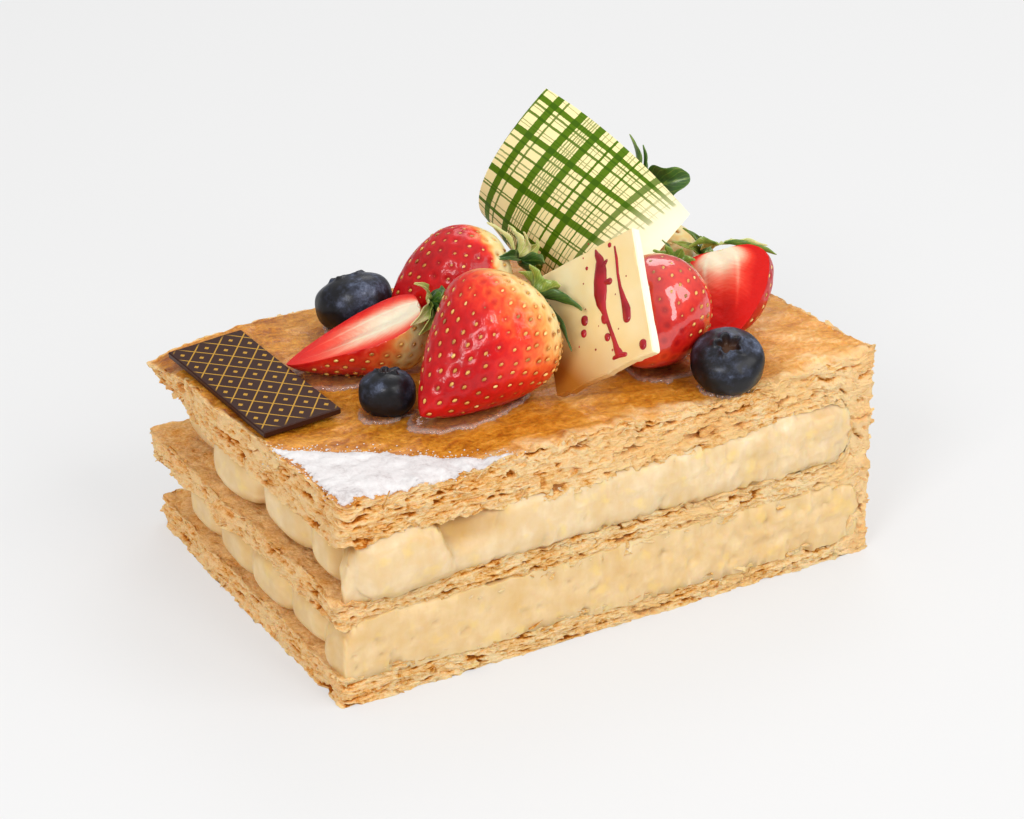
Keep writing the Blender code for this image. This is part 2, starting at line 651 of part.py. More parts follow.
def build():
    """Makes every piece, sets the toppings down and hangs them all on one empty."""
    clear_scene()
    collection = bpy.data.collections.new("mille_feuille")
    bpy.context.scene.collection.children.link(collection)
    pastry_sheet("pastry_bottom", (0, 1), 1)
    custard("custard_lower", collection)
    pastry_sheet("pastry_middle", (2, 3), 2)
    custard("custard_upper", collection)
    top = pastry_sheet("pastry_top", (4, 5), 3)
    for make in (plaque, tile, shard):
        piece = make()
        set_down(piece, top)
    for number, name in enumerate(STRAWBERRIES):
        berry = strawberry(name, number)
        shift = set_down(berry, top)
        calyx(name, (*STRAWBERRIES[name]["place"], HELD_HEIGHT + shift))
    for name in BLUEBERRIES:
        set_down(blueberry(name), top)
    root = bpy.data.objects.new("cake", None)
    collection.objects.link(root)
    pieces = [thing for thing in collection.objects if thing.type == "MESH"]
    middle = []
    for axis in range(2):
        reach = [corner.co[axis] for thing in pieces for corner in thing.data.vertices]
        middle.append(0.5 * (min(reach) + max(reach)))
    centre = Matrix.Translation((-middle[0], -middle[1], 0.0))
    for thing in pieces:
        thing.data.transform(Matrix.Scale(MM, 4) @ centre)
        thing.parent = root


build()
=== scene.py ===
"""Looks of the mille-feuille cake: baked puff pastry, piped custard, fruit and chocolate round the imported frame.

Places are in metres in the frame's own axes. Sizes are given in millimetres and multiplied by MM.
"""

import math
import random

import bmesh
import bpy
import numpy as np
from mathutils import Matrix, Vector, noise
from mathutils.bvhtree import BVHTree


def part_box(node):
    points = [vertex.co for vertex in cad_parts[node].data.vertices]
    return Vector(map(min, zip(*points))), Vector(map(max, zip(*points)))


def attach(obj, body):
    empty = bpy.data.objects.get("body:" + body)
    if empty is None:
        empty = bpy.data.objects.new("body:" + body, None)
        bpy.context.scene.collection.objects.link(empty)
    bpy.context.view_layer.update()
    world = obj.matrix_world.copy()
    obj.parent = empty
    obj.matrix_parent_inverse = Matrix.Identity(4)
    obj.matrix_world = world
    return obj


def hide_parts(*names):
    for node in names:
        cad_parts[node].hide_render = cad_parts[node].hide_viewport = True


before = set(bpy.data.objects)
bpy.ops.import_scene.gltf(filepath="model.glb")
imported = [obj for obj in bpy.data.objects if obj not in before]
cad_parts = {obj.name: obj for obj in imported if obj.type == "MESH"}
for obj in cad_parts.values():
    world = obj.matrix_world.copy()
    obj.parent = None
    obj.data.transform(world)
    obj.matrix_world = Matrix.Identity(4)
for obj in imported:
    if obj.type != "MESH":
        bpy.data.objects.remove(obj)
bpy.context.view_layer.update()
MM = 0.001
MOST_FOLD = math.radians(40)  # triangles that meet at less than this are paired into quads

# Camera, as the photograph was taken. It looks at this point of the frame, in millimetres
CAMERA_TARGET = (-3.667, -6.689, 38.796)
CAMERA_AZIMUTH = -31.48
CAMERA_ELEVATION = 25.93
CAMERA_DISTANCE = 596.25
CAMERA_LENS = 84.375  # on a sensor 36 mm wide

# Strawberries: direction from head to tip, size and outline of the turned shape. A cut half has a roll.
# ripe: share of the length where the pale head ends, how soft that border is, where it reaches furthest, how far
# glazed: how much glossy coat a berry has; it also lightens the red, as painted light
BERRIES = {
    "rear": {
        "azimuth": 162, "elevation": -13, "length": 32.5, "radius": 13.4,
        "shoulder": 0.46, "taper": 1.57, "bluntness": 0.82, "ripe": (0.17, 0.12, 20, 0.07),
    },
    "left_half": {
        "azimuth": 157, "elevation": -22.5, "length": 36.7, "radius": 13.0,
        "shoulder": 0.26, "taper": 1.44, "bluntness": 0.74, "roll": -2, "lean": 0.16, "glazed": 0.7,
        "ripe": (0.08, 0.34, 200, 0.12),
    },
    "front": {
        "azimuth": -165.8, "elevation": -26.3, "length": 41.6, "radius": 16.3,
        "shoulder": 0.30, "taper": 1.25, "bluntness": 0.77, "ripe": (0.05, 0.40, 290, 0.16),
    },
    "middle": {
        "azimuth": -143, "elevation": -26, "length": 30.8, "radius": 13.9,
        "shoulder": 0.46, "taper": 1.6, "bluntness": 0.69, "ripe": (0.02, 0.08, 0, 0.02), "glazed": 1.0,
    },
    "right_half": {
        "azimuth": -121, "elevation": -42.7, "length": 25.8, "radius": 13.0,
        "shoulder": 0.26, "taper": 2.1, "bluntness": 0.70, "roll": -30, "redness": 0.46,
        "ripe": (0.06, 0.10, 0, 0.03),
    },
    "tall": {
        "azimuth": 169.5, "elevation": -36, "length": 33.0, "radius": 12.2,
        "shoulder": 0.34, "taper": 1.5, "bluntness": 0.75, "ripe": (0.10, 0.12, 0, 0.05),
    },
    "low": {
        "azimuth": 130, "elevation": -10, "length": 21.0, "radius": 8.8,
        "shoulder": 0.40, "taper": 1.7, "bluntness": 0.75, "ripe": (0.42, 0.20, 300, 0.15),
    },
}
BERRY_ORDER = ("rear", "left_half", "front", "middle", "right_half", "tall", "low")
BERRY_SEGMENTS = 144
BERRY_RINGS = 96
BERRY_LUMPS = 0.35
BERRY_LUMP_LENGTH = 12.0
HEAD_DIMPLE = 0.05
SEED_AREA = 10.5  # skin that each seed has round it, in square millimetres
SEED_SIZE = (0.40, 0.30, 0.66)  # radii across, through and along
DIMPLE_DEPTH = 0.42
DIMPLE_RADIUS = 0.85
GOLDEN_ANGLE = math.pi * (3.0 - math.sqrt(5.0))

# Sepals: angle round the head, length, lift away from the berry, width, bow, tone from dark 0 to yellow 1
SEPALS = {
    "rear": (
        (60, 14.7, -14, 2.0, 1.5, 0.9), (65, 12.6, 7, 2.2, 1.5, 0.8), (88, 11.0, 45, 3.6, 1.5, 0.7),
        (284, 13.6, 21, 3.6, 1.5, 0.2), (260, 13.6, 3, 3.4, 1.0, 0.1), (307, 11.8, -33, 3.2, 2.0, 0.1),
        (30, 8.0, 10, 3.2, 1.5, 0.9), (125, 12.0, 30, 4.4, 2.0, 0.5), (160, 11.0, 20, 4.4, 2.0, 0.4),
        (200, 11.5, 8, 4.4, 2.0, 0.4), (235, 12.0, 5, 4.6, 2.0, 0.3), (345, 9.0, 20, 3.2, 1.5, 0.9),
    ),
    "left_half": (
        (316, 12.8, -2, 2.6, 1.5, 0.7), (290, 11.1, 22, 4.4, 2.0, 0.2), (279, 12.1, 13, 4.4, 2.0, 0.3),
        (275, 13.6, -23, 3.6, 2.0, 0.9), (261, 13.5, -19, 3.6, 2.0, 0.6), (250, 13.1, -5, 4.0, 2.0, 0.2),
        (212, 11.0, 4, 4.4, 2.0, 0.4), (176, 10.5, 10, 4.4, 2.0, 0.4), (136, 10.0, 6, 4.2, 2.0, 0.4),
    ),
    "front": (
        (288, 7.2, 32, 4.0, 0.8, 0.55), (262, 13.3, 8, 3.8, 0.8, 0.15), (243, 17.4, -22, 2.6, 1.0, 0.05),
        (196, 10.0, -36, 4.4, 2.0, 0.3), (156, 10.0, -36, 4.6, 2.0, 0.3), (114, 11.0, -10, 4.8, 2.0, 0.4),
        (66, 7.5, 20, 4.2, 1.2, 0.5), (16, 7.5, 24, 4.2, 1.2, 0.5),
    ),
    "middle": (
        (112, 12.5, 56, 2.2, 1.0, 0.2), (158, 7.0, 20, 2.6, 0.6, 0.3), (185, 13.1, 52, 2.0, 1.4, 0.4),
        (246, 6.0, 12, 2.6, 0.6, 0.4), (290, 6.0, 12, 2.6, 0.6, 0.4), (335, 6.0, 14, 2.6, 0.6, 0.4),
        (20, 6.0, 16, 2.6, 0.6, 0.4), (66, 6.5, 18, 2.6, 0.6, 0.4),
    ),
    "right_half": (
        (126, 10.6, 14, 2.4, 0.4, 0.75), (145, 11.4, 18, 2.4, 0.3, 0.9), (182, 11.4, 20, 2.4, 0.2, 0.95),
        (202, 12.0, 16, 2.4, 0.2, 0.9), (224, 13.0, 4, 2.4, 0.3, 0.8), (238, 14.6, -12, 2.4, 0.5, 0.35),
        (86, 8.5, 4, 2.6, 0.6, 0.5),
    ),
    "tall": (
        (33, 15.2, 35, 4.4, 1.5, 0.3), (34, 12.4, 50, 4.4, 1.5, 0.2), (267, 17.3, 44, 9.5, 2.5, 0.15),
        (316, 12.0, 16, 4.8, 2.0, 0.4), (216, 12.0, 12, 4.8, 2.0, 0.4), (170, 12.0, 14, 4.8, 2.0, 0.4),
        (132, 12.0, 12, 4.8, 2.0, 0.4), (94, 12.0, 16, 4.4, 2.0, 0.4),
    ),
    "low": (
        (315, 16.7, -1, 2.2, 1.5, 0.3), (304, 15.9, -12, 2.2, 1.5, 0.5), (280, 8.0, 10, 3.4, 1.0, 0.4),
        (230, 8.0, 12, 3.4, 1.0, 0.4), (185, 7.5, 8, 3.4, 1.0, 0.4), (140, 7.5, 8, 3.4, 1.0, 0.4),
        (95, 7.0, 4, 3.4, 1.0, 0.4), (50, 5.5, 0, 3.0, 0.8, 0.4), (8, 5.0, 2, 3.0, 0.8, 0.4),
    ),
}
CALYX_CORE = 2.4
WIDEST_PLAIN_SEPAL = 8.0
SEPAL_ROWS = 14
SEPAL_COLUMNS = 6
ROUND_LEAF_FACES = (-0.47, -0.77, 0.44)  # the widest sepal is twisted to face this way
CALYX_CLEARANCE = 0.85
SEPAL_THICKNESS = 0.35

# Blueberries: equatorial and polar radius, direction of the crown
BLUEBERRIES = {
    "rear": (10.0, 6.7, 97, 63),
    "front": (6.8, 5.5, 65, 81),
    "right": (9.0, 6.1, -125, 68),
}

BARREL = 2.5  # 2 makes an ellipsoid, more makes it squarer

# Chocolate tile, along its lower side and out of its face, and the printed lattice of the plaque
TILE_ALONG = (0.370, -0.721, 0.586)
TILE_FACE = (-0.894, -0.095, 0.438)
LATTICE_PITCH = 8.2

# Curled sheet of white chocolate: a flat square bent round an axis that is turned from its sides
SHEET_REACH = ((-24.5, 24.5), (-27.0, 24.75))
SHEET_BOW = 2.0
SHEET_THICKNESS = 1.7
SHEET_CURL_RADIUS = 23.3
SHEET_MIDDLE = (26.35, 18.6, 75.52)
SHEET_AXIS = (-0.284, 0.704, 0.651)
SHEET_OUTWARD = (-0.787, -0.559, 0.261)
SHEET_EDGE_TURN = -76.2
SHEET_SPANS = 72

# Printed bands of the plaid, in millimetres across the sheet: middle, width, strength of the print.
# Each family of bands ends with the range that its ramp covers
PLAID_LEFT = ((
    (-24.1, 0.52, 0.95), (-19.8, 1.9, 1.0), (-17.4, 0.52, 0.9), (-12.6, 2.0, 1.0), (-11.0, 0.38, 0.75),
    (-10.2, 0.38, 0.75), (-9.6, 0.3, 0.65), (-8.9, 0.38, 0.75), (-8.2, 0.3, 0.65), (-6.6, 2.0, 1.0),
    (-4.7, 0.3, 0.65), (-3.4, 0.3, 0.65), (-1.7, 0.6, 1.0), (1.3, 2.0, 1.0),
), -30.0, 2.8)
PLAID_RIGHT = ((
    (3.6, 0.3, 0.65), (4.4, 0.3, 0.65), (5.9, 0.6, 1.0), (7.6, 0.3, 0.65), (9.0, 0.38, 0.75), (12.4, 1.9, 0.9),
    (14.4, 0.38, 0.55), (16.9, 0.7, 0.5), (19.2, 0.45, 0.4),
), 2.8, 30.0)
PLAID_UPPER = ((
    (24.4, 0.3, 0.55), (21.8, 1.7, 1.0), (19.7, 0.65, 0.9), (18.7, 0.3, 0.65), (16.9, 0.68, 0.95), (14.3, 0.3, 0.65),
    (13.6, 0.3, 0.55), (11.7, 1.6, 1.0), (9.3, 0.52, 0.85), (6.6, 0.65, 0.95), (4.5, 0.45, 0.75), (3.2, 0.3, 0.55),
    (1.8, 0.55, 0.9), (-0.9, 2.0, 1.0),
), -3.0, 30.0)
PLAID_LOWER = ((
    (-5.3, 0.52, 0.95), (-6.3, 0.6, 0.9), (-10.2, 0.52, 0.65), (-12.8, 1.4, 1.0), (-15.6, 0.6, 0.9),
    (-19.0, 0.45, 0.75), (-21.5, 1.4, 1.0),
), -40.0, -3.0)


def linear(colour):
    """An sRGB hex colour, or a plain grey level, as linear light."""
    if not isinstance(colour, str):
        return (colour, colour, colour, 1.0)
    channels = [int(colour[i:i + 2], 16) / 255 for i in (1, 3, 5)]
    return (*[c / 12.92 if c <= 0.04045 else ((c + 0.055) / 1.055) ** 2.4 for c in channels], 1.0)


def set_ramp(ramp, stops, interpolation="LINEAR"):
    """Fills a colour ramp with (position, colour) stops."""
    ramp.color_ramp.interpolation = interpolation
    elements = ramp.color_ramp.elements
    while len(elements) > 1:
        elements.remove(elements[-1])
    elements[0].position = stops[0][0]
    elements[0].color = linear(stops[0][1])
    for position, colour in stops[1:]:
        elements.new(position).color = linear(colour)


def feed(node, *values, **named):
    """Gives a node's inputs, in order or by name, a value, a socket, or a node for its Fac or first output in use."""
    for name, value in [*enumerate(values), *named.items()]:
        socket = node.inputs[name.replace("_", " ") if isinstance(name, str) else name]
        if isinstance(value, bpy.types.Node):
            value = value.outputs.get("Fac") or next(output for output in value.outputs if output.enabled)
        if isinstance(value, bpy.types.NodeSocket):
            node.id_data.links.new(value, socket)
        else:
            socket.default_value = value


def add(tree, kind, *values, stops=(), **named):
    """Adds a node with its settings, and its inputs by order or by capitalised name. Stops fill a colour ramp."""
    made = tree.nodes.new("ShaderNode" + kind)
    if stops:
        set_ramp(made, stops)
    for name in [name for name in named if name[0].islower()]:
        setattr(made, name, named.pop(name))
    feed(made, *values, **named)
    return made


def new_material(name, **finish):
    """A material with its shader's own constants set. Spaces in a socket's name are written as underscores."""
    made = bpy.data.materials.new(name)
    made.use_nodes = True
    shader = made.node_tree.nodes["Principled BSDF"]
    feed(shader, **finish)
    return made, made.node_tree, shader


def select_only(thing):
    """Leaves only this object selected, and active."""
    bpy.ops.object.select_all(action="DESELECT")
    thing.select_set(True)
    bpy.context.view_layer.objects.active = thing


def start_from(operator, name="template", **settings):
    """A primitive to start from."""
    bpy.ops.object.select_all(action="DESELECT")
    operator(**settings)
    bpy.context.object.name = name
    return bpy.context.object


def edit(thing, *steps):
    """Runs edit-mode operators, each with its settings, on the whole of a mesh."""
    select_only(thing)
    bpy.ops.object.mode_set(mode="EDIT")
    bpy.ops.mesh.select_all(action="SELECT")
    for operator, settings in steps:
        operator(**settings)
    bpy.ops.object.mode_set(mode="OBJECT")


def apply_modifier(thing, kind, **settings):
    """Adds a modifier and applies it."""
    select_only(thing)
    modifier = thing.modifiers.new(kind.lower(), kind)
    for name, value in settings.items():
        setattr(modifier, name, value)
    bpy.ops.object.modifier_apply(modifier=modifier.name)


def copy_of_node(node):
    """A node's mesh as a new object, its loose triangles merged and paired into quads."""
    thing = bpy.data.objects.new(node + "_dressed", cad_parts[node].data.copy())
    bpy.context.scene.collection.objects.link(thing)
    thing.data.materials.clear()
    edit(
        thing, (bpy.ops.mesh.remove_doubles, {"threshold": 0.01 * MM}),
        (bpy.ops.mesh.tris_convert_to_quads, {"face_threshold": MOST_FOLD, "shape_threshold": MOST_FOLD}))
    own_normals = thing.data.attributes.get("custom_normal")
    if own_normals:
        thing.data.attributes.remove(own_normals)
    return thing


def points_of(thing):
    """A mesh's points as an array in millimetres."""
    flat = np.empty(3 * len(thing.data.vertices), np.float32)
    thing.data.vertices.foreach_get("co", flat)
    return flat.reshape(-1, 3).astype(float) / MM


def normals_of(thing):
    """A mesh's vertex normals as an array."""
    flat = np.empty(3 * len(thing.data.vertices), np.float32)
    thing.data.vertex_normals.foreach_get("vector", flat)
    return flat.reshape(-1, 3).astype(float)


def set_points(thing, points):
    """Moves a mesh's points to places in millimetres."""
    thing.data.vertices.foreach_set("co", (points * MM).astype(np.float32).ravel())
    thing.data.update()


def set_attributes(thing, **values):
    """Stores numbers for each point, or one for all, for the material to read."""
    for name, numbers in values.items():
        layer = thing.data.attributes.new(name, "FLOAT", "POINT")
        layer.data.foreach_set("value", np.full(len(thing.data.vertices), numbers, np.float32))


def wave(points, lengths, seed=0.0):
    """Smooth noise, about -1 to 1, at each point. The lengths are the size of its bumps along each axis."""
    scaled = points / np.asarray(lengths, float) + np.array([seed * 7.31, seed * 3.17, seed * 5.53])
    return np.array([2.0 * noise.noise(Vector(place)) for place in scaled])


def ripple(x, y, length, seed):
    """Smooth noise, about -0.5 to 0.5, at one place of the top."""
    return noise.noise(Vector((x / length, y / length, seed)))


def smooth_step(low, high, values):
    """0 below the low value, 1 above the high one, with a soft change between."""
    share = np.clip((values - low) / (high - low), 0.0, 1.0)
    return share * share * (3.0 - 2.0 * share)


def direction(azimuth, elevation):
    """Unit vector of a direction in degrees."""
    azimuth, elevation = math.radians(azimuth), math.radians(elevation)
    level = math.cos(elevation)
    return Vector((math.cos(azimuth) * level, math.sin(azimuth) * level, math.sin(elevation)))


def mesh_from(name, points, faces, sharp_above=60):
    """A new object from points in millimetres and faces."""
    data = bpy.data.meshes.new(name)
    data.from_pydata((np.asarray(points) * MM).tolist(), [], [list(face) for face in faces])
    data.update()
    thing = bpy.data.objects.new(name, data)
    bpy.context.scene.collection.objects.link(thing)
    shade(thing, sharp_above)
    return thing


def shade(thing, sharp_above=60):
    """Smooth shading, with an edge kept sharp above this angle."""
    select_only(thing)
    bpy.ops.object.shade_smooth_by_angle(angle=math.radians(sharp_above))


def settle(thing, material, slot_name, *nodes):
    """Gives the piece its material, rides it on the cake, and hides the nodes that it stands for. Its slot name is not
    used.
    """
    thing.data.materials.append(material)
    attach(thing, "root")
    if nodes:
        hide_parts(*nodes)


def scatter(name, template, matrices, sharp_above=60):
    """One piece made of a template's copies, each placed by its own matrix, in millimetres."""
    shape = points_of(template)
    faces = [list(face.vertices) for face in template.data.polygons]
    points = []
    joined = []
    for number, matrix in enumerate(matrices):
        turn = np.array(matrix)
        points.append(shape @ turn[:3, :3].T + turn[:3, 3])
        joined.extend([[corner + number * len(shape) for corner in face] for face in faces])
    bpy.data.objects.remove(template)
    return mesh_from(name, np.concatenate(points), joined, sharp_above)


# Pastry

def cut_sides_fine(thing):
    """Marks the arrises of a sheet so that rounding leaves them, and cuts its side faces in two along their length."""
    mesh = bmesh.new()
    mesh.from_mesh(thing.data)
    layer = mesh.edges.layers.float.new("crease_edge")
    long_edges = []
    for edge in mesh.edges:
        flat = [abs(face.normal.z) > 0.75 for face in edge.link_faces]
        level = abs((edge.verts[0].co - edge.verts[1].co).normalized().z) < 0.45
        if len(set(flat)) > 1:
            edge[layer] = 1.0
        if level and not all(flat) and edge.calc_length() > 2.5 * MM:
            long_edges.append(edge)
    bmesh.ops.subdivide_edges(mesh, edges=long_edges, cuts=1)
    mesh.to_mesh(thing.data)
    mesh.free()


# At the front right corner the sheets' ends are pinched together round the custard.
# Under and upper face of each sheet's end, at four places along it, and the heights that they close to
LIP_PLACES = (62.0, 68.0, 71.0, 75.5)
LIP_FACES = {
    "pastry_bottom": ((0.0, 0.0, 0.0, 0.0), (6.7, 8.4, 11.0, 12.3)),
    "pastry_middle": ((17.7, 14.7, 13.4, 12.4), (26.3, 28.8, 31.6, 33.3)),
    "pastry_top": ((41.5, 36.6, 36.1, 35.5), (52.3, 52.5, 52.6, 52.9)),
}
LIP_HEIGHTS = {"pastry_bottom": (None, 13.4), "pastry_middle": (11.6, 35.6), "pastry_top": (33.4, None)}

# Leaves of a sheet's sides, coarse and fine: height of one, how far it stands out, how far it runs
LEAVES = ((1.6, 0.30, 6.5), (0.8, 0.22, 2.6))

# How far the lower edge of a sheet's front hangs down over the custard, along the row
FRONT_SAG = {
    "pastry_top": ((-30.0, -21.0, -10.0, 12.0, 20.0, 36.0, 50.0), (0.0, 2.4, 3.3, 3.3, 1.5, 1.2, 0.0)),
    "pastry_middle": ((-52.0, -42.0, -28.0, -10.0, 5.0, 16.0), (0.0, 1.5, 1.1, 2.2, 1.6, 0.0)),
}


def hang_front(points, node):
    """Share of each point of a sheet's front in the part that hangs down, times how far it hangs."""
    if node not in FRONT_SAG:
        return np.zeros(len(points))
    x, y, z = points.T
    lower = smooth_step(0.65, 0.1, (z - z.min()) / (z.max() - z.min()))
    return np.interp(x, *FRONT_SAG[node]) * lower * smooth_step(-45.5, -48.5, y)


def ragged_front(points, seed):
    """How far the front edges of a sheet stand up or hang down unevenly over the custard."""
    _, y, z = points.T
    stands_on_floor = z.min() < 1.0
    outer = np.clip((z - 0.5 * (z.max() + z.min())) / 4.0, 0 if stands_on_floor else -1, 1)
    uneven = 0.7 * wave(points, (6, 30, 60), seed + 18) + 0.5 * wave(points, (1.9, 9, 60), seed + 19)
    return smooth_step(-44.0, -49.0, y) * outer * (uneven + 0.2)


def close_lips(points, node):
    """Moves the faces of a sheet's front right end to where they meet the next sheet's."""
    x, y, z = points.T
    near = smooth_step(65.0, 68.0, x) * smooth_step(-34.0, -44.0, y)
    under, over = [np.interp(x, LIP_PLACES, heights) for heights in LIP_FACES[node]]
    share = np.clip((z - under) / (over - under), 0, 1)
    low, high = LIP_HEIGHTS[node]
    if low is not None:
        points[:, 2] += near * (1.0 - share) * (low - under)
    if high is not None:
        points[:, 2] += near * share * (high - over)


def baked_sheet(node, seed, material, glazed=False):
    """A baked sheet: the node's form, cut fine, its sides broken into thin crumbling leaves, its faces blistered."""
    thing = copy_of_node(node)
    cut_sides_fine(thing)
    apply_modifier(thing, "SUBSURF", levels=3, render_levels=3)
    points = points_of(thing)
    normals = normals_of(thing)
    level = np.hypot(normals[:, 0], normals[:, 1])
    sideways = smooth_step(0.35, 0.75, level)
    flat = 1.0 - sideways
    broken_edge = np.zeros(len(points))
    if glazed:
        ragged = 2.4 * wave(points, (8, 7, 7), seed) + 1.1 * wave(points, (2.4, 2.4, 2), seed + 3)
        broken_edge = smooth_step(-45.5, -51.0, points[:, 1] + ragged) * smooth_step(-60, -45, points[:, 0])
    side = np.nonzero(sideways > 0)[0]
    at = points[side]
    out = np.zeros_like(at)
    out[:, :2] = normals[side, :2] / np.maximum(1e-6, level[side])[:, None]
    height = at[:, 2] + 0.6 * wave(at, (15, 15, 9), seed) + 0.3 * wave(at, (4, 4, 3), seed + 1)
    relief = np.zeros(len(at))
    for pitch, depth, run in LEAVES:
        leaf = np.floor(height / pitch)
        layered = np.stack([at[:, 0], at[:, 1], leaf * 3.7 * pitch], 1)
        relief += depth * wave(layered, (run, run, 1), seed + pitch)
        cleft = smooth_step(0.22, 0.0, height / pitch - leaf)
        relief -= 0.6 * depth * cleft * smooth_step(-0.4, 0.4, wave(layered, (run, run, 1), seed + 4))
    hole = smooth_step(0.62, 1.15, wave(at, (6.5, 6.5, 1.1), seed + 5) + 0.45 * wave(at, (2.4, 2.4, 0.8), seed + 6))
    small = smooth_step(0.55, 1.0, wave(at, (2.2, 2.2, 0.7), seed + 13))
    relief -= 1.3 * hole + 0.5 * small
    relief += 0.22 * wave(at, (1.6, 1.6, 0.7), seed + 7) + 0.12 * wave(at, (0.7, 0.7, 0.4), seed + 17)
    relief = relief * np.where(normals[side, 1] < -0.7, 0.8, 0.9) + 0.25
    points[side] += out * (relief * sideways[side])[:, None]
    points[side, 2] += 0.22 * wave(at, (2.6, 2.6, 1.8), seed + 11) * sideways[side]
    face = np.nonzero(flat > 0)[0]
    at = points[face]
    blister = 0.26 * wave(at, (6.5, 4.5, 3), seed + 8) + 0.12 * wave(at, (2.2, 1.7, 1.5), seed + 9)
    blister += 0.16 * np.abs(wave(at, (10, 3.2, 3), seed + 10))
    blister -= (0.3 if glazed else 0.8) * smooth_step(0.55, 1.0, wave(at, (3.6, 3.0, 2), seed + 14))
    points[face, 2] += np.sign(normals[face, 2]) * flat[face] * blister
    rough = 0.40 * wave(at, (3.6, 1.2, 2), seed + 15) + 0.25 * wave(at, (1.2, 1.0, 1), seed + 16) - 0.4
    points[face, 2] += broken_edge[face] * flat[face] * (normals[face, 2] > 0) * rough
    hang = hang_front(points, node)
    points[:, 1] -= np.minimum(0.9, 0.5 * hang)
    points[:, 2] += ragged_front(points, seed) - hang
    close_lips(points, node)
    points[:, 2] = np.maximum(points[:, 2], 0.0)
    set_points(thing, points)
    # depth also carries painted shade: holes, pits and clefts between leaves get a lower value, so a darker colour
    depth = np.full(len(points), 0.62)
    depth[side] = np.clip(0.58 + 0.30 * relief - 0.35 * hole - 0.2 * small, 0, 1)
    baked = np.maximum(flat * (1 - broken_edge), 0)
    set_attributes(thing, depth=depth, baked=baked, glaze=glazed * flat * (normals[:, 2] > 0.3) * (1 - broken_edge))
    shade(thing, 50)
    settle(thing, material, "pastry", node)
    return thing


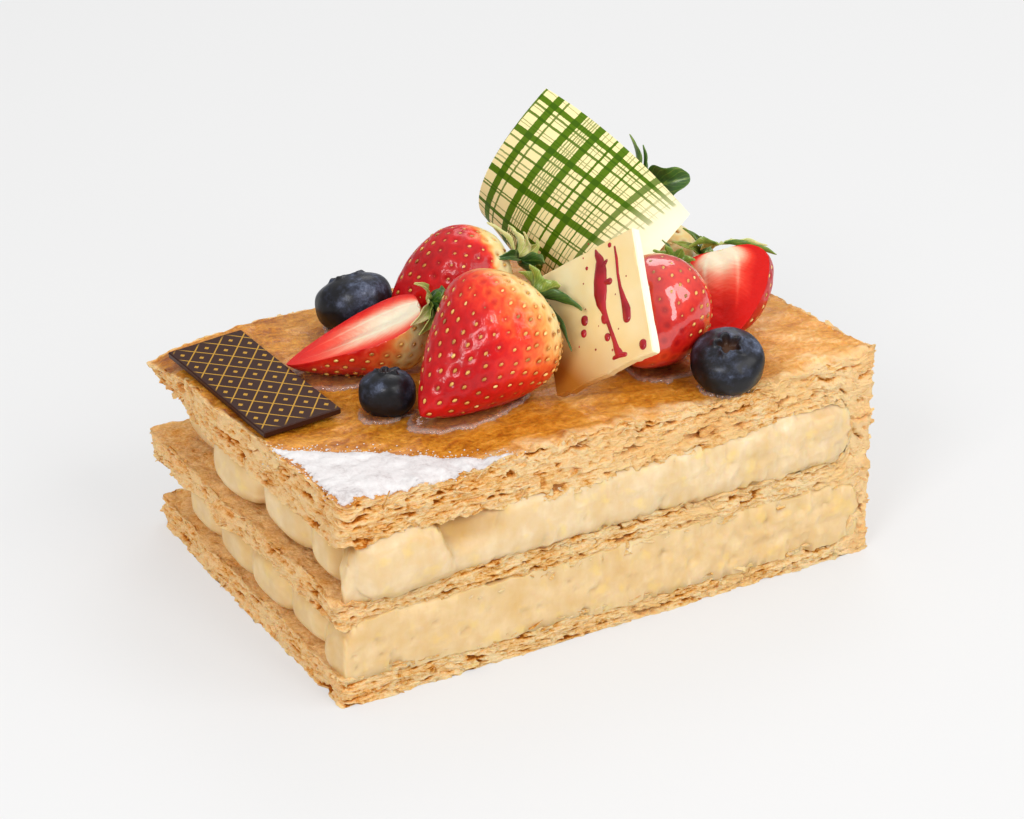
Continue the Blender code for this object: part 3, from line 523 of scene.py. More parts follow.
def puff_pastry():
    """Baked puff pastry: dry matt crumb, pale where it was cut and brown where it baked. The top has a sugar glaze."""
    made, tree, shader = new_material(
        "baked_puff_pastry", IOR=1.45, Coat_Roughness=0.25,
        Subsurface_Weight=0.25, Subsurface_Scale=0.0012, Subsurface_Radius=(1.0, 0.5, 0.2))
    place = add(tree, "TexCoord").outputs["Object"]
    x, y, z = add(tree, "SeparateXYZ", place).outputs
    depth, baked, glaze = [add(tree, "Attribute", attribute_name=name) for name in ("depth", "baked", "glaze")]
    flattened = add(tree, "Mapping", place, Scale=(1100.0, 1100.0, 1700.0))
    crumb = add(tree, "TexNoise", flattened, Scale=1.0, Detail=5.0, Roughness=0.75)
    thin = add(tree, "Mapping", place, Scale=(300.0, 300.0, 2600.0))
    leaves = add(tree, "TexNoise", thin, Scale=1.0, Detail=3.0, Distortion=0.4)
    patch = add(tree, "TexNoise", place, Scale=130.0, Detail=3.0)
    left = add(tree, "MapRange", x, -0.079, -0.068, 0.14, 0.0, interpolation_type="SMOOTHSTEP")
    right = add(tree, "MapRange", x, 0.045, 0.075, 0.0, 0.44)
    mixed = depth
    for part, weight in ((leaves, 0.9), (crumb, 1.2), (patch, 0.8), (left, 1.0), (right, 1.0)):
        mixed = add(tree, "Math", part, weight, mixed, operation="MULTIPLY_ADD")
    # Low depth reaches the dark end of this ramp: painted shade in the hollows of the sides
    side = add(tree, "ValToRGB", add(tree, "MapRange", mixed, 1.52, 2.40), stops=(
        (0.0, "#A05A18"), (0.16, "#C67C2C"), (0.32, "#DFA04E"),
        (0.46, "#EEBD78"), (0.62, "#F6D098"), (0.85, "#FEE6BC")))
    smear = add(tree, "MapRange", add(tree, "TexNoise", place, Scale=75.0, Detail=4.0), 0.46, 0.62, 0.0, 0.75)
    for socket, low, high in ((x, -0.03, 0.02), (y, -0.0475, -0.049)):
        smear = add(tree, "Math", smear, add(tree, "MapRange", socket, low, high), operation="MULTIPLY")
    side = add(tree, "Mix", Factor=smear, A=side, B=linear("#FAD69E"), data_type="RGBA")
    upper = add(tree, "MapRange", z, 0.037, 0.043)
    tint = add(tree, "Mix", Factor=upper, A=linear("#F9F1E2"), B=linear("#FFF2E0"), data_type="RGBA")
    at_end = add(tree, "MapRange", add(tree, "Math", x, operation="ABSOLUTE"), 0.062, 0.074)
    tint = add(tree, "Mix", Factor=at_end, A=tint, B=linear("#FFEBD2"), data_type="RGBA")
    side = add(tree, "Mix", Factor=1.0, A=side, B=tint, data_type="RGBA", blend_type="MULTIPLY")
    spread = add(tree, "Mapping", place, Scale=(110.0, 190.0, 150.0))
    streak = add(tree, "TexNoise", spread, Scale=1.0, Detail=7.0, Roughness=0.68, Distortion=0.3)
    broad = add(tree, "TexNoise", place, Scale=30.0, Detail=3.0)
    grain = add(tree, "TexNoise", place, Scale=800.0, Detail=4.0)
    # Paler towards the right: partly the glaze's own colour, partly painted sheen where the glaze catches the light
    right_gradient_and_sheen = add(tree, "MapRange", x, -0.07, 0.078, -0.07, 0.14)
    browning_and_sheen = streak
    for part, weight in ((broad, 0.70), (grain, 0.60), (right_gradient_and_sheen, 1.0)):
        browning_and_sheen = add(tree, "Math", part, weight, browning_and_sheen, operation="MULTIPLY_ADD")
    browning_and_sheen = add(tree, "MapRange", browning_and_sheen, 0.84, 1.54)
    top = add(tree, "ValToRGB", browning_and_sheen, stops=(
        (0.0, "#8A4406"), (0.20, "#B06610"), (0.42, "#CE8420"),
        (0.64, "#E39C36"), (0.84, "#EEB25E"), (1.0, "#F6C784")))
    ledge = add(tree, "ValToRGB", browning_and_sheen, stops=(
        (0.0, "#A0682C"), (0.25, "#C48C4A"), (0.50, "#D9AA6A"), (0.80, "#E9C48C"), (1.0, "#F2D4A4")))
    ledge = add(tree, "Mix", Factor=crumb, A=ledge, B=side, data_type="RGBA")
    face = add(tree, "Mix", Factor=glaze, A=ledge, B=top, data_type="RGBA")
    colour = add(tree, "Mix", Factor=baked, A=side, B=face, data_type="RGBA")
    layered = add(tree, "Math", crumb, leaves, operation="ADD")
    wrinkle = add(tree, "Mix", Factor=baked, A=layered, B=browning_and_sheen, data_type="FLOAT")
    feed(
        shader, Base_Color=colour, Coat_Weight=add(tree, "Math", glaze, 0.28, operation="MULTIPLY"),
        Roughness=add(tree, "MapRange", glaze, To_Min=0.80, To_Max=0.40),
        Specular_IOR_Level=add(tree, "MapRange", glaze, To_Min=0.10, To_Max=0.35),
        Normal=add(tree, "Bump", Height=wrinkle, Strength=1.0, Distance=0.6 * MM))
    return made


def flakes(sheets, material):
    """Loose flakes and shreds of baked pastry that cling to the sheets' sides, most of them along the layers."""
    template = start_from(bpy.ops.mesh.primitive_cube_add, size=MM)
    edit(template, (bpy.ops.mesh.subdivide, {"number_cuts": 1}))
    shape = points_of(template)
    shape[:, 0] *= 1.0 - 0.5 * np.abs(shape[:, 1])
    shape[:, 2] += 0.35 * shape[:, 0] ** 2 + 0.25 * shape[:, 1]
    set_points(template, shape)
    draw = random.Random(8)
    up = Vector((0, 0, 1))
    matrices = []
    for sheet, count in sheets:
        polygons = [polygon for polygon in sheet.data.polygons if abs(polygon.normal.z) < 0.6]
        for polygon in draw.sample(polygons, count):
            out = Vector((polygon.normal.x, polygon.normal.y, 0.0)).normalized()
            large = draw.random() < 0.12
            length = draw.uniform(2.4, 5.0) if large else draw.uniform(0.7, 2.2)
            width = draw.uniform(0.9, 1.8) if large else draw.uniform(0.4, 1.0)
            basis = Matrix((up.cross(out), out, up)).transposed().to_4x4()
            spin = Matrix.Rotation(draw.gauss(0, 0.35), 4, "Y") @ Matrix.Rotation(draw.gauss(0, 0.5), 4, "X")
            spin = spin @ Matrix.Rotation(draw.gauss(0, 0.4), 4, "Z")
            size = Matrix.Diagonal((length, width, draw.uniform(0.14, 0.28), 1.0))
            place = Matrix.Translation(polygon.center / MM + out * draw.uniform(-0.15, 0.2) * width)
            matrices.append(place @ basis @ spin @ size)
    thing = scatter("pastry_flakes", template, matrices, 30)
    points = points_of(thing)
    points[:, 2] = np.maximum(points[:, 2], 0.0)
    set_points(thing, points)
    tones = np.repeat([draw.uniform(0.35, 1.0) for _ in matrices], len(shape))
    set_attributes(thing, depth=tones, baked=0, glaze=0)
    settle(thing, material, "pastry")


# Custard

# Front edges of the sheets, left and right end, and the height between which each custard layer lies
SHEET_FRONTS = {
    "custard_lower": ((-51.5, -54.5), (-50.9, -52.1), 7.0, 19.0),
    "custard_upper": ((-50.9, -52.1), (-51.1, -50.1), 26.0, 41.0),
}
ROUND_END = ((-60.2, 27.0), (13.9, 14.7))  # the front row's rounded left lump: middle, half length and half height


def piped_custard(node, seed, material):
    """A custard layer: the rows rounded off, pressed against the sheets, their cut front smeared by the knife."""
    thing = copy_of_node(node)
    apply_modifier(thing, "REMESH", mode="VOXEL", voxel_size=0.8 * MM, use_smooth_shade=True)
    apply_modifier(thing, "SMOOTH", factor=0.5, iterations=3)
    points = points_of(thing)
    normals = normals_of(thing)
    x, y, z = points.T
    below, above, low, high = SHEET_FRONTS[node]
    run = (x + 76.0) / 151.0
    edge_below = below[0] + (below[1] - below[0]) * run
    edge_above = above[0] + (above[1] - above[0]) * run
    flush = edge_below + (edge_above - edge_below) * np.clip((z - low) / (high - low), 0, 1)
    near_front = smooth_step(-44.5, -47.5, y)
    front = near_front * smooth_step(-0.2, -0.7, normals[:, 1])
    swell = 0.50 + 0.35 * wave(points, (16, 12, 9), seed)
    moved = points + normals * (swell * (1 - near_front))[:, None]
    streaks = 0.02 * wave(points, (1.5, 3, 9), seed + 2) + 0.05 * wave(points, (4.6, 3, 14), seed + 3)
    lumps = 0.50 * wave(points, (3.8, 3.8, 3.0), seed + 5) + 0.36 * wave(points, (1.5, 1.5, 1.4), seed + 6)
    lumps = (0.15 + 0.85 * smooth_step(-30, 60, x)) * lumps + 0.04 * wave(points, (1.1, 1.1, 1.0), seed + 12)
    pits = smooth_step(0.85, 1.15, wave(points, (3.2, 3.2, 2.2), seed + 4))
    push = -0.1 - streaks - lumps + 0.7 * pits - 0.35 * smooth_step(30, 60, x)
    recess = np.zeros(len(points))
    if node == "custard_upper":
        (middle_x, middle_z), (wide, tall) = ROUND_END
        reach = np.hypot((x - middle_x) / wide, (z - middle_z) / tall)
        lump = smooth_step(1.03, 0.97, reach)
        behind = smooth_step(-56, -50, x) * smooth_step(-28, -44, x) * smooth_step(28, 36, z) * (1 - lump)
        left = middle_x - wide * np.sqrt(1.0 - np.clip((z - middle_z) / tall, 0.0, 0.98) ** 2)
        beyond = np.maximum(0.0, left - x)
        groove = np.exp(-(((y + 44.2) / 1.9) ** 2)) * smooth_step(-62, -69, x) * smooth_step(25, 29, z)
        push += 3.2 * behind - lump * (0.2 + 1.2 * np.sqrt(np.clip(1.0 - reach, 0, 1)))
        moved[:, 0] += near_front * beyond + 2.4 * groove
        under_sheet = smooth_step(31, 40, z)
        past_edge = smooth_step(0.0, 1.5, beyond) * smooth_step(-38, -44, y) * under_sheet
        # This mask is painted shade: dark yellow under the sheet's overhang, beside the round lump and in the groove
        # behind it
        recess = np.maximum(np.maximum(behind * (0.25 + 0.75 * under_sheet), past_edge), 0.65 * groove)
    moved[:, 1] += near_front * (flush - np.median(y[front > 0.9])) + front * (push - 0.5)
    moved[:, 0] += 2.4 * smooth_step(58, 66, x)
    ragged = wave(points, (4.5, 40, 40), seed + 7) + 0.7 * wave(points, (1.6, 40, 40), seed + 8)
    edge = near_front * np.sign(normals[:, 2]) * smooth_step(0.2, 0.7, np.abs(normals[:, 2]))
    moved[:, 2] += edge * (2.3 + 0.35 * ragged)
    set_points(thing, moved)
    set_attributes(thing, cut_face=front, recess=recess)
    shade(thing, 70)
    settle(thing, material, "custard", node)


def custard():
    """Cooked egg custard set soft: smooth, moist, and streaked where a knife dragged through it."""
    made, tree, shader = new_material(
        "set_custard", IOR=1.40, Roughness=0.42, Coat_Roughness=0.3, Coat_Weight=0.12,
        Subsurface_Weight=0.5, Subsurface_Scale=0.0025, Subsurface_Radius=(1.0, 0.62, 0.25))
    place = add(tree, "TexCoord").outputs["Object"]
    cut, recess = [add(tree, "Attribute", attribute_name=name) for name in ("cut_face", "recess")]
    drawn = add(tree, "Mapping", place, Scale=(330.0, 120.0, 75.0))
    streak = add(tree, "TexNoise", drawn, Scale=1.0, Detail=4.0, Roughness=0.6)
    cloud = add(tree, "TexNoise", place, Scale=95.0, Detail=3.0)
    drag = add(tree, "Mix", Factor=cut, A=0.5, B=streak, data_type="FLOAT")
    fine = add(tree, "TexNoise", place, Scale=330.0, Detail=4.0)
    tone = cloud
    for part, weight in ((drag, 0.35), (fine, 0.55)):
        tone = add(tree, "Math", part, weight, tone, operation="MULTIPLY_ADD")
    colour = add(tree, "ValToRGB", add(tree, "MapRange", tone, 0.50, 1.40), stops=(
        (0.0, "#D6AA66"), (0.25, "#DBBA84"), (0.50, "#DFC396"), (0.75, "#E8D0A8"), (1.0, "#F5E6CE")))
    lump = add(tree, "Mix", Factor=1.0, A=colour, B=linear("#FFFAEC"), data_type="RGBA", blend_type="MULTIPLY")
    body = add(tree, "Mix", Factor=cut, A=lump, B=colour, data_type="RGBA")
    curd = add(tree, "TexNoise", place, Scale=210.0, Detail=3.0)
    yolky = add(tree, "MapRange", curd, 0.56, 0.70, 0.0, 0.45)
    body = add(tree, "Mix", Factor=yolky, A=body, B=linear("#EED07C"), data_type="RGBA")
    lower = add(tree, "MapRange", add(tree, "SeparateXYZ", place).outputs["Z"], 30 * MM, 24 * MM)
    body = add(tree, "Mix", Factor=lower, A=body, B=linear("#FAF4E7"), data_type="RGBA", blend_type="MULTIPLY")
    # Painted shade: the recesses under the sheet and behind the round lump are darkened to a deep yellow
    deep = add(tree, "Mix", Factor=recess, A=body, B=linear("#B9852A"), data_type="RGBA")
    feed(shader, Base_Color=deep, Normal=add(tree, "Bump", Height=fine, Strength=0.35, Distance=0.35 * MM))
    return made


# Strawberries

def berry_axes(setting):
    """Unit vectors of a strawberry: out of its cut face or up, to its side, and from head to tip."""
    tip = direction(setting["azimuth"], setting["elevation"])
    side = Vector((-tip.y, tip.x, 0.0)).normalized()
    up = tip.cross(side)
    up = -up if up.z < 0 else up
    roll = math.radians(setting.get("roll", 0))
    face = math.cos(roll) * up + math.sin(roll) * side
    return np.array(face), np.array(tip.cross(face)), np.array(tip)


def berry_middle(name):
    """Middle of a strawberry, in millimetres, from its node's tip."""
    setting = BERRIES[name]
    tip = berry_axes(setting)[2]
    points = points_of(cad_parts["strawberry_" + name])
    end = points[np.argmax(points @ tip)]
    return end - tip * 0.5 * setting["length"]


def berry_radius(share, setting):
    """Radius of a strawberry at shares of its length from head to tip."""
    shoulder = setting["shoulder"]
    head = np.sqrt(np.clip(1.0 - ((shoulder - share) / shoulder) ** 2, 0, 1))
    run = np.clip((share - shoulder) / (1.0 - shoulder), 0, 1)
    body = (1.0 - run ** setting["taper"]) ** setting["bluntness"]
    return setting["radius"] * np.where(share < shoulder, head, body)


def seed_spots(setting, number):
    """Places of the seeds: share of the length and angle round the axis, evenly over the skin."""
    shares = np.linspace(0.0, 1.0, 400)
    radii = berry_radius(shares, setting)
    area = np.concatenate([[0.0], np.cumsum(0.5 * (radii[1:] + radii[:-1]))]) * 2 * math.pi * setting["length"] / 399
    count = int(area[-1] / SEED_AREA)
    draw = random.Random(40 + number)
    spots = []
    for i in range(count):
        share = float(np.interp((i + 0.5) / count * area[-1], area, shares))
        around = i * GOLDEN_ANGLE + draw.uniform(-0.05, 0.05)
        if share > 0.06:
            spots.append((share + draw.uniform(-0.006, 0.006), around))
    return spots


def on_skin(share, around, setting):
    """Point of the plain skin and its outward normal, in the strawberry's own axes."""
    step = 0.004  # as a share of the length
    radius = berry_radius(np.array([share - step, share, share + step]), setting)
    slope = (radius[2] - radius[0]) / (2 * step * setting["length"])
    point = np.array([radius[1] * math.cos(around), radius[1] * math.sin(around), (share - 0.5) * setting["length"]])
    normal = np.array([math.cos(around), math.sin(around), -slope])
    return point, normal / np.linalg.norm(normal)


def strawberry(name, skin, flesh, seeds):
    """A strawberry turned from a ball, dimpled round each seed. A cut half has the near side pressed flat."""
    setting = BERRIES[name]
    number = BERRY_ORDER.index(name)
    length = setting["length"]
    glazed = setting.get("glazed", 0.0)
    redness = setting.get("redness", 0.05)
    cut = "roll" in setting
    thing = start_from(
        bpy.ops.mesh.primitive_uv_sphere_add, "strawberry_" + name + "_dressed",
        segments=BERRY_SEGMENTS, ring_count=BERRY_RINGS, radius=MM)
    points = points_of(thing)
    share = np.clip(0.5 * (1.0 + points[:, 2]), 0, 1)
    around = np.arctan2(points[:, 1], points[:, 0])
    radius = berry_radius(share, setting)
    drift = 0 * share + 7.3 * number * BERRY_LUMP_LENGTH
    ring = np.stack([9.0 * np.cos(around) + 3.0 * number, 9.0 * np.sin(around) + share * length, drift], 1)
    radius = np.maximum(0.0, radius + BERRY_LUMPS * wave(ring, BERRY_LUMP_LENGTH) * np.minimum(1.0, radius / 5.0))
    hollow = HEAD_DIMPLE * length * np.maximum(0.0, 1.0 - radius / (0.6 * setting["radius"]))
    height = (share - 0.5) * length + np.where(share < 0.5, hollow, 0.0)
    body = np.stack([radius * np.cos(around), radius * np.sin(around), height], 1)
    set_points(thing, body)
    normals = normals_of(thing)
    half = (body[:, 0] > 1e-4) & cut
    pressed, seed_rim, across = np.zeros((3, len(body)))
    for spot, turn in seed_spots(setting, number):
        point, normal = on_skin(spot, turn, setting)
        if cut and point[0] > -0.9:
            continue
        near = np.linalg.norm(body - point, axis=1)
        close = near < 3.2 * DIMPLE_RADIUS
        rim = np.exp(-(((near[close] - 1.5 * DIMPLE_RADIUS) / (0.6 * DIMPLE_RADIUS)) ** 2))
        pressed[close] = np.maximum(pressed[close], np.exp(-((near[close] / DIMPLE_RADIUS) ** 2)))
        seed_rim[close] = np.maximum(seed_rim[close], rim)
        seeds.append((name, point - normal * (DIMPLE_DEPTH - 0.18), normal))
    depth = DIMPLE_DEPTH * (1.0 - 0.8 * glazed)
    body = body - normals * (depth * pressed)[:, None] * (~half)[:, None]
    aside = body[:, 1]
    if cut:
        across = np.where(half, np.sin(around), 0.0)
        core = np.exp(-((aside / 2.2) ** 2)) * smooth_step(0.02, 0.2, share) * smooth_step(0.9, 0.6, share)
        veins = np.stack([aside * 0.25, share * length + 0.5 * np.abs(aside), 0 * share], 1)
        body[:, 0] = np.where(half, -0.45 * core + 0.07 * wave(veins, (1, 1.1, 1), number), body[:, 0])
    start, soft, turn, skew = setting["ripe"]
    limit = start + skew * np.cos(around - math.radians(turn))
    limit = limit + 0.05 * wave(body, 7, number) + 0.02 * wave(body, 2, number)
    edge = np.abs(aside) / np.maximum(0.5, berry_radius(share, setting))
    red = np.maximum(0.06 + 1.05 * edge ** 1.7, 1.6 * (share - 0.24)) + redness
    red -= 1.2 * redness * smooth_step(0.34, 0.08, share) * smooth_step(1.0, 0.5, edge)
    red += setting.get("lean", 0.0) * np.sign(aside) * edge
    set_attributes(
        thing, ripe=smooth_step(-0.5, 1.2, (share - limit) / soft), pressed=pressed, seed_rim=seed_rim,
        share=share, across=across, glazed=glazed, flesh=red)
    set_points(thing, berry_middle_of[name] + body @ np.stack(berry_axes(setting)))
    shade(thing, 60)
    settle(thing, skin, "strawberry", "strawberry_" + name)
    if cut:
        thing.data.materials.append(flesh)
        for polygon in thing.data.polygons:
            polygon.material_index = int(all(half[corner] for corner in polygon.vertices))


def seed_piece(seeds, material):
    """Every seed of the fruit: a small flattened drop along the skin, its point towards the tip."""
    template = start_from(bpy.ops.mesh.primitive_ico_sphere_add, subdivisions=2, radius=MM)
    shape = points_of(template)
    shape[:, :2] *= (1.0 - 0.35 * np.clip(shape[:, 2], 0, 1))[:, None]
    set_points(template, shape * SEED_SIZE)
    matrices = []
    for name, point, normal in seeds:
        turn = np.stack(berry_axes(BERRIES[name])).T
        out, tip = Vector(turn @ normal), Vector(turn[:, 2])
        along = (tip - out * tip.dot(out)).normalized()
        basis = Matrix((along.cross(out), out, along)).transposed().to_4x4()
        matrices.append(Matrix.Translation(Vector(berry_middle_of[name] + turn @ point)) @ basis)
    settle(scatter("strawberry_seeds", template, matrices), material, "strawberry")


def strawberry_skin():
    """Strawberry skin: thin, taut and wet over red flesh; orange to cream where it ripened in the shade."""
    made, tree, shader = new_material(
        "strawberry_skin", IOR=1.38, Roughness=0.36, Coat_Roughness=0.06, Coat_IOR=1.80, Specular_IOR_Level=0.25,
        Subsurface_Weight=0.12, Subsurface_Scale=0.0010, Subsurface_Radius=(1.0, 0.25, 0.12))
    place = add(tree, "TexCoord").outputs["Object"]
    level, pressed, rim, glazed = [
        add(tree, "Attribute", attribute_name=name) for name in ("ripe", "pressed", "seed_rim", "glazed")]
    mottle = add(tree, "TexNoise", place, Scale=230.0, Detail=4.0, Roughness=0.6)
    broad = add(tree, "TexNoise", place, Scale=75.0, Detail=2.0)
    # The glazed amount also gives a lighter red: painted light on the middle berry and on the left half's shaded
    # underside
    for part, weight in ((mottle, 0.34), (broad, 0.40), (rim, -0.10), (glazed, -0.22)):
        level = add(tree, "Math", part, weight, level, operation="MULTIPLY_ADD")
    colour = add(tree, "ValToRGB", add(tree, "MapRange", level, 0.32, 1.42), stops=(
        (0.0, "#F3E3A6"), (0.12, "#F5D088"), (0.28, "#F6A456"), (0.46, "#F26A30"),
        (0.62, "#E8321C"), (0.82, "#CC1013"), (1.0, "#AC0A12")))
    # Painted shade in the seed dimples: the skin is darkened where it is pressed in round each seed
    dark = add(tree, "Math", pressed, 0.55, operation="MULTIPLY")
    colour = add(tree, "Mix", Factor=dark, A=colour, B=linear("#A8301C"), data_type="RGBA", blend_type="MULTIPLY")
    film = add(tree, "TexNoise", place, Scale=900.0, Detail=2.0)
    uneven = add(tree, "MapRange", glazed, To_Min=0.7, To_Max=0.12)
    feed(
        shader, Base_Color=colour, Normal=add(tree, "Bump", Height=mottle, Strength=0.45, Distance=0.3 * MM),
        Coat_Weight=add(tree, "MapRange", glazed, To_Min=0.20, To_Max=1.0),
        Coat_Normal=add(tree, "Bump", Height=film, Strength=uneven, Distance=0.25 * MM))
    return made


def strawberry_flesh():
    """Cut strawberry: wet flesh, white along its core, with pale veins that run out to a red rim."""
    made, tree, shader = new_material(
        "cut_strawberry_flesh", IOR=1.36, Roughness=0.40, Coat_Weight=0.15, Coat_Roughness=0.15,
        Specular_IOR_Level=0.25, Subsurface_Weight=0.2, Subsurface_Scale=0.0015, Subsurface_Radius=(1.0, 0.3, 0.15))
    core, share, across = [add(tree, "Attribute", attribute_name=name) for name in ("flesh", "share", "across")]
    away = add(tree, "Math", across, operation="ABSOLUTE")
    bent = add(tree, "Math", away, 1.7, operation="POWER")
    along = add(tree, "Math", bent, -0.30, share, operation="MULTIPLY_ADD")
    stretched = add(tree, "Mapping", add(tree, "CombineXYZ", X=along, Y=across), Scale=(46.0, 3.4, 1.0))
    vein = add(tree, "TexNoise", stretched, Scale=1.0, Detail=4.0, Distortion=0.5)
    level = add(tree, "Math", vein, -0.24, core, operation="MULTIPLY_ADD")
    beside = add(tree, "Math", add(tree, "Math", away, 0.36, operation="SUBTRACT"), operation="ABSOLUTE")
    strand = add(tree, "MapRange", beside, 0.0, 0.07, -0.16, 0.0)
    colour = add(tree, "ValToRGB", add(tree, "Math", level, strand, operation="ADD"), stops=(
        (0.0, "#FAEBCE"), (0.20, "#F9D4B4"), (0.38, "#F9A286"),
        (0.56, "#F4644C"), (0.74, "#EE3626"), (0.98, "#DA1A14")))
    feed(shader, Base_Color=colour, Normal=add(tree, "Bump", Height=vein, Strength=0.3, Distance=0.3 * MM))
    return made


def strawberry_seed():
    """Strawberry seeds: small, hard and dry, golden brown."""
    made, tree, shader = new_material("strawberry_seed", IOR=1.45, Roughness=0.35, Coat_Weight=0.5, Coat_Roughness=0.1)
    place = add(tree, "TexCoord").outputs["Object"]
    speck = add(tree, "TexNoise", place, Scale=260.0)
    colour = add(tree, "ValToRGB", speck, stops=(
        (0.3, "#8E5A1C"), (0.48, "#C98A35"), (0.62, "#E5B75C"), (0.75, "#F1D488")))
    feed(shader, Base_Color=colour)
    return made


# Sepals

def sepal_blade(setting):
    """Points and faces of one sepal, flat along +X with its width along Y, pointed and keeled."""
    angle, length, _, width, _, _ = setting
    draw = random.Random(int(angle * 7 + length * 100))
    ripple_phase = draw.uniform(0, 6.28)
    curl = draw.uniform(-0.5, 0.9)
    blunt, swelling = (0.42, 1.15) if width > WIDEST_PLAIN_SEPAL else (0.85, 0.80)
    points = []
    for row in range(SEPAL_ROWS + 1):
        share = row / SEPAL_ROWS
        fullness = max(0.03, math.sin(math.pi * min(1.0, share * 0.93 + 0.07) ** swelling)) ** blunt
        for column in range(SEPAL_COLUMNS + 1):
            t = 2.0 * column / SEPAL_COLUMNS - 1.0
            y = 0.5 * width * fullness * t * (1.0 + 0.16 * math.sin(17.0 * share + 2.0 * ripple_phase + t))
            z = 0.30 * width * fullness * t * t * (1.0 + curl * share)
            z += 0.26 * math.sin(11.0 * share + ripple_phase + 1.5 * t) * abs(t)
            points.append((share, y, z, t))
    corners = (0, 1, SEPAL_COLUMNS + 2, SEPAL_COLUMNS + 1)
    starts = [row * (SEPAL_COLUMNS + 1) + column for row in range(SEPAL_ROWS) for column in range(SEPAL_COLUMNS)]
    return points, [[start + corner for corner in corners] for start in starts]


def calyx(name, material):
    """A strawberry's ring of sepals, spread round its head."""
    setting = BERRIES[name]
    face, side, tip = berry_axes(setting)
    head = berry_middle_of[name] - tip * (0.5 * setting["length"] + CALYX_CLEARANCE)
    points, faces, tones, rib_aside, rib_along = [], [], [], [], []
    for sepal in SEPALS[name]:
        angle, length, lift, width, bow, tone = sepal
        blade, blade_faces = sepal_blade(sepal)
        faces.extend([[corner + len(points) for corner in blade_face] for blade_face in blade_faces])
        turn = math.radians(angle)
        rise = math.radians(lift)
        out = math.cos(turn) * face + math.sin(turn) * side
        along = math.cos(rise) * out - math.sin(rise) * tip
        away = -math.cos(rise) * tip - math.sin(rise) * out
        wide = np.cross(away, along)
        if width > WIDEST_PLAIN_SEPAL:
            wide = np.cross(ROUND_LEAF_FACES, along)
            wide /= np.linalg.norm(wide)
            away = np.cross(along, wide)
        base = head + out * CALYX_CORE * 0.4
        end = head + length * along
        for share, y, z, aside in blade:
            points.append(base + (end - base) * share + away * (bow * math.sin(math.pi * share) + z) + wide * y)
            tones.append(tone + 0.25 * (share - 0.5) + 0.14 * abs(aside))
            rib_aside.append(abs(aside))
            rib_along.append(share)
    thing = mesh_from("calyx_" + name + "_dressed", points, faces)
    set_attributes(thing, tone=tones, rib_aside=rib_aside, rib_along=rib_along)
    apply_modifier(thing, "SOLIDIFY", thickness=SEPAL_THICKNESS * MM, offset=0.0)
    apply_modifier(thing, "SUBSURF", levels=1, render_levels=1)
    shade(thing, 60)
    settle(thing, material, "calyx", "calyx_" + name)


def sepal_leaf():
    """Strawberry sepals: thin living leaf, matt above with pale edges, that lets light through."""
    made, tree, shader = new_material(
        "strawberry_leaf", IOR=1.45, Roughness=0.45, Coat_Weight=0.3, Coat_Roughness=0.2,
        Subsurface_Weight=0.2, Subsurface_Scale=0.0006, Subsurface_Radius=(0.5, 1.0, 0.2))
    place = add(tree, "TexCoord").outputs["Object"]
    level, aside, along = [add(tree, "Attribute", attribute_name=name) for name in ("tone", "rib_aside", "rib_along")]
    mottle = add(tree, "TexNoise", place, Scale=500.0, Detail=3.0)
    slant = add(tree, "Math", aside, -0.45, along, operation="MULTIPLY_ADD")
    side_vein = add(tree, "MapRange", add(tree, "Math", slant, 0.075, operation="PINGPONG"), 0.0, 0.018, 0.20, 0.0)
    rib = add(tree, "MapRange", aside, 0.0, 0.16, 0.30, 0.0)
    for part, weight in ((mottle, 0.4), (side_vein, 1.0), (rib, 1.0)):
        level = add(tree, "Math", part, weight, level, operation="MULTIPLY_ADD")
    colour = add(tree, "ValToRGB", add(tree, "Math", level, 0.25, operation="SUBTRACT"), stops=(
        (0.0, "#1E3210"), (0.3, "#3C6420"), (0.6, "#80983A"), (0.85, "#B9BF68"), (1.0, "#DAD598")))
    feed(shader, Base_Color=colour, Normal=add(tree, "Bump", Height=mottle, Strength=0.4, Distance=0.15 * MM))
    return made


# Blueberries

def blueberry(name, material):
    """A blueberry: a flattened ball with the five-pointed crown's rim round a pit."""
    wide, polar, azimuth, elevation = BLUEBERRIES[name]
    thing = start_from(
        bpy.ops.mesh.primitive_uv_sphere_add, "blueberry_" + name + "_dressed",
        segments=120, ring_count=90, radius=MM)
    points = points_of(thing)
    out = np.hypot(points[:, 0], points[:, 1])
    around = np.arctan2(points[:, 1], points[:, 0])
    squared = (np.abs(out) ** BARREL + np.abs(points[:, 2]) ** BARREL) ** (1.0 / BARREL)
    points /= squared[:, None]
    out = np.hypot(points[:, 0], points[:, 1])
    upper = points[:, 2] > 0
    star = 0.30 + 0.06 * np.cos(5 * around) + 0.015 * np.cos(11 * around + 1)
    pit = upper * smooth_step(1.05, 0.55, out / star)
    rim = upper * 0.10 * np.exp(-(((out - 1.15 * star) / 0.07) ** 2)) * (0.8 + 0.35 * np.cos(5 * around))
    points = np.stack([points[:, 0] * wide, points[:, 1] * wide, (points[:, 2] - 0.34 * pit + rim) * polar], 1)
    points += 0.12 * wave(points, 4, len(name))[:, None] * normals_of(thing)
    crown = direction(azimuth, elevation)
    points = points @ np.array(Vector((0, 0, 1)).rotation_difference(crown).to_matrix()).T
    low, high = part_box("blueberry_" + name)
    points += np.array((low + high) / 2) / MM - 0.5 * (points.min(0) + points.max(0))
    set_points(thing, points)
    # upward is painted light: the skin is made greyer and paler where it faces up
    set_attributes(thing, crown=pit, upward=np.clip(normals_of(thing)[:, 2], 0, 1))
    shade(thing, 60)
    settle(thing, material, "blueberry", "blueberry_" + name)


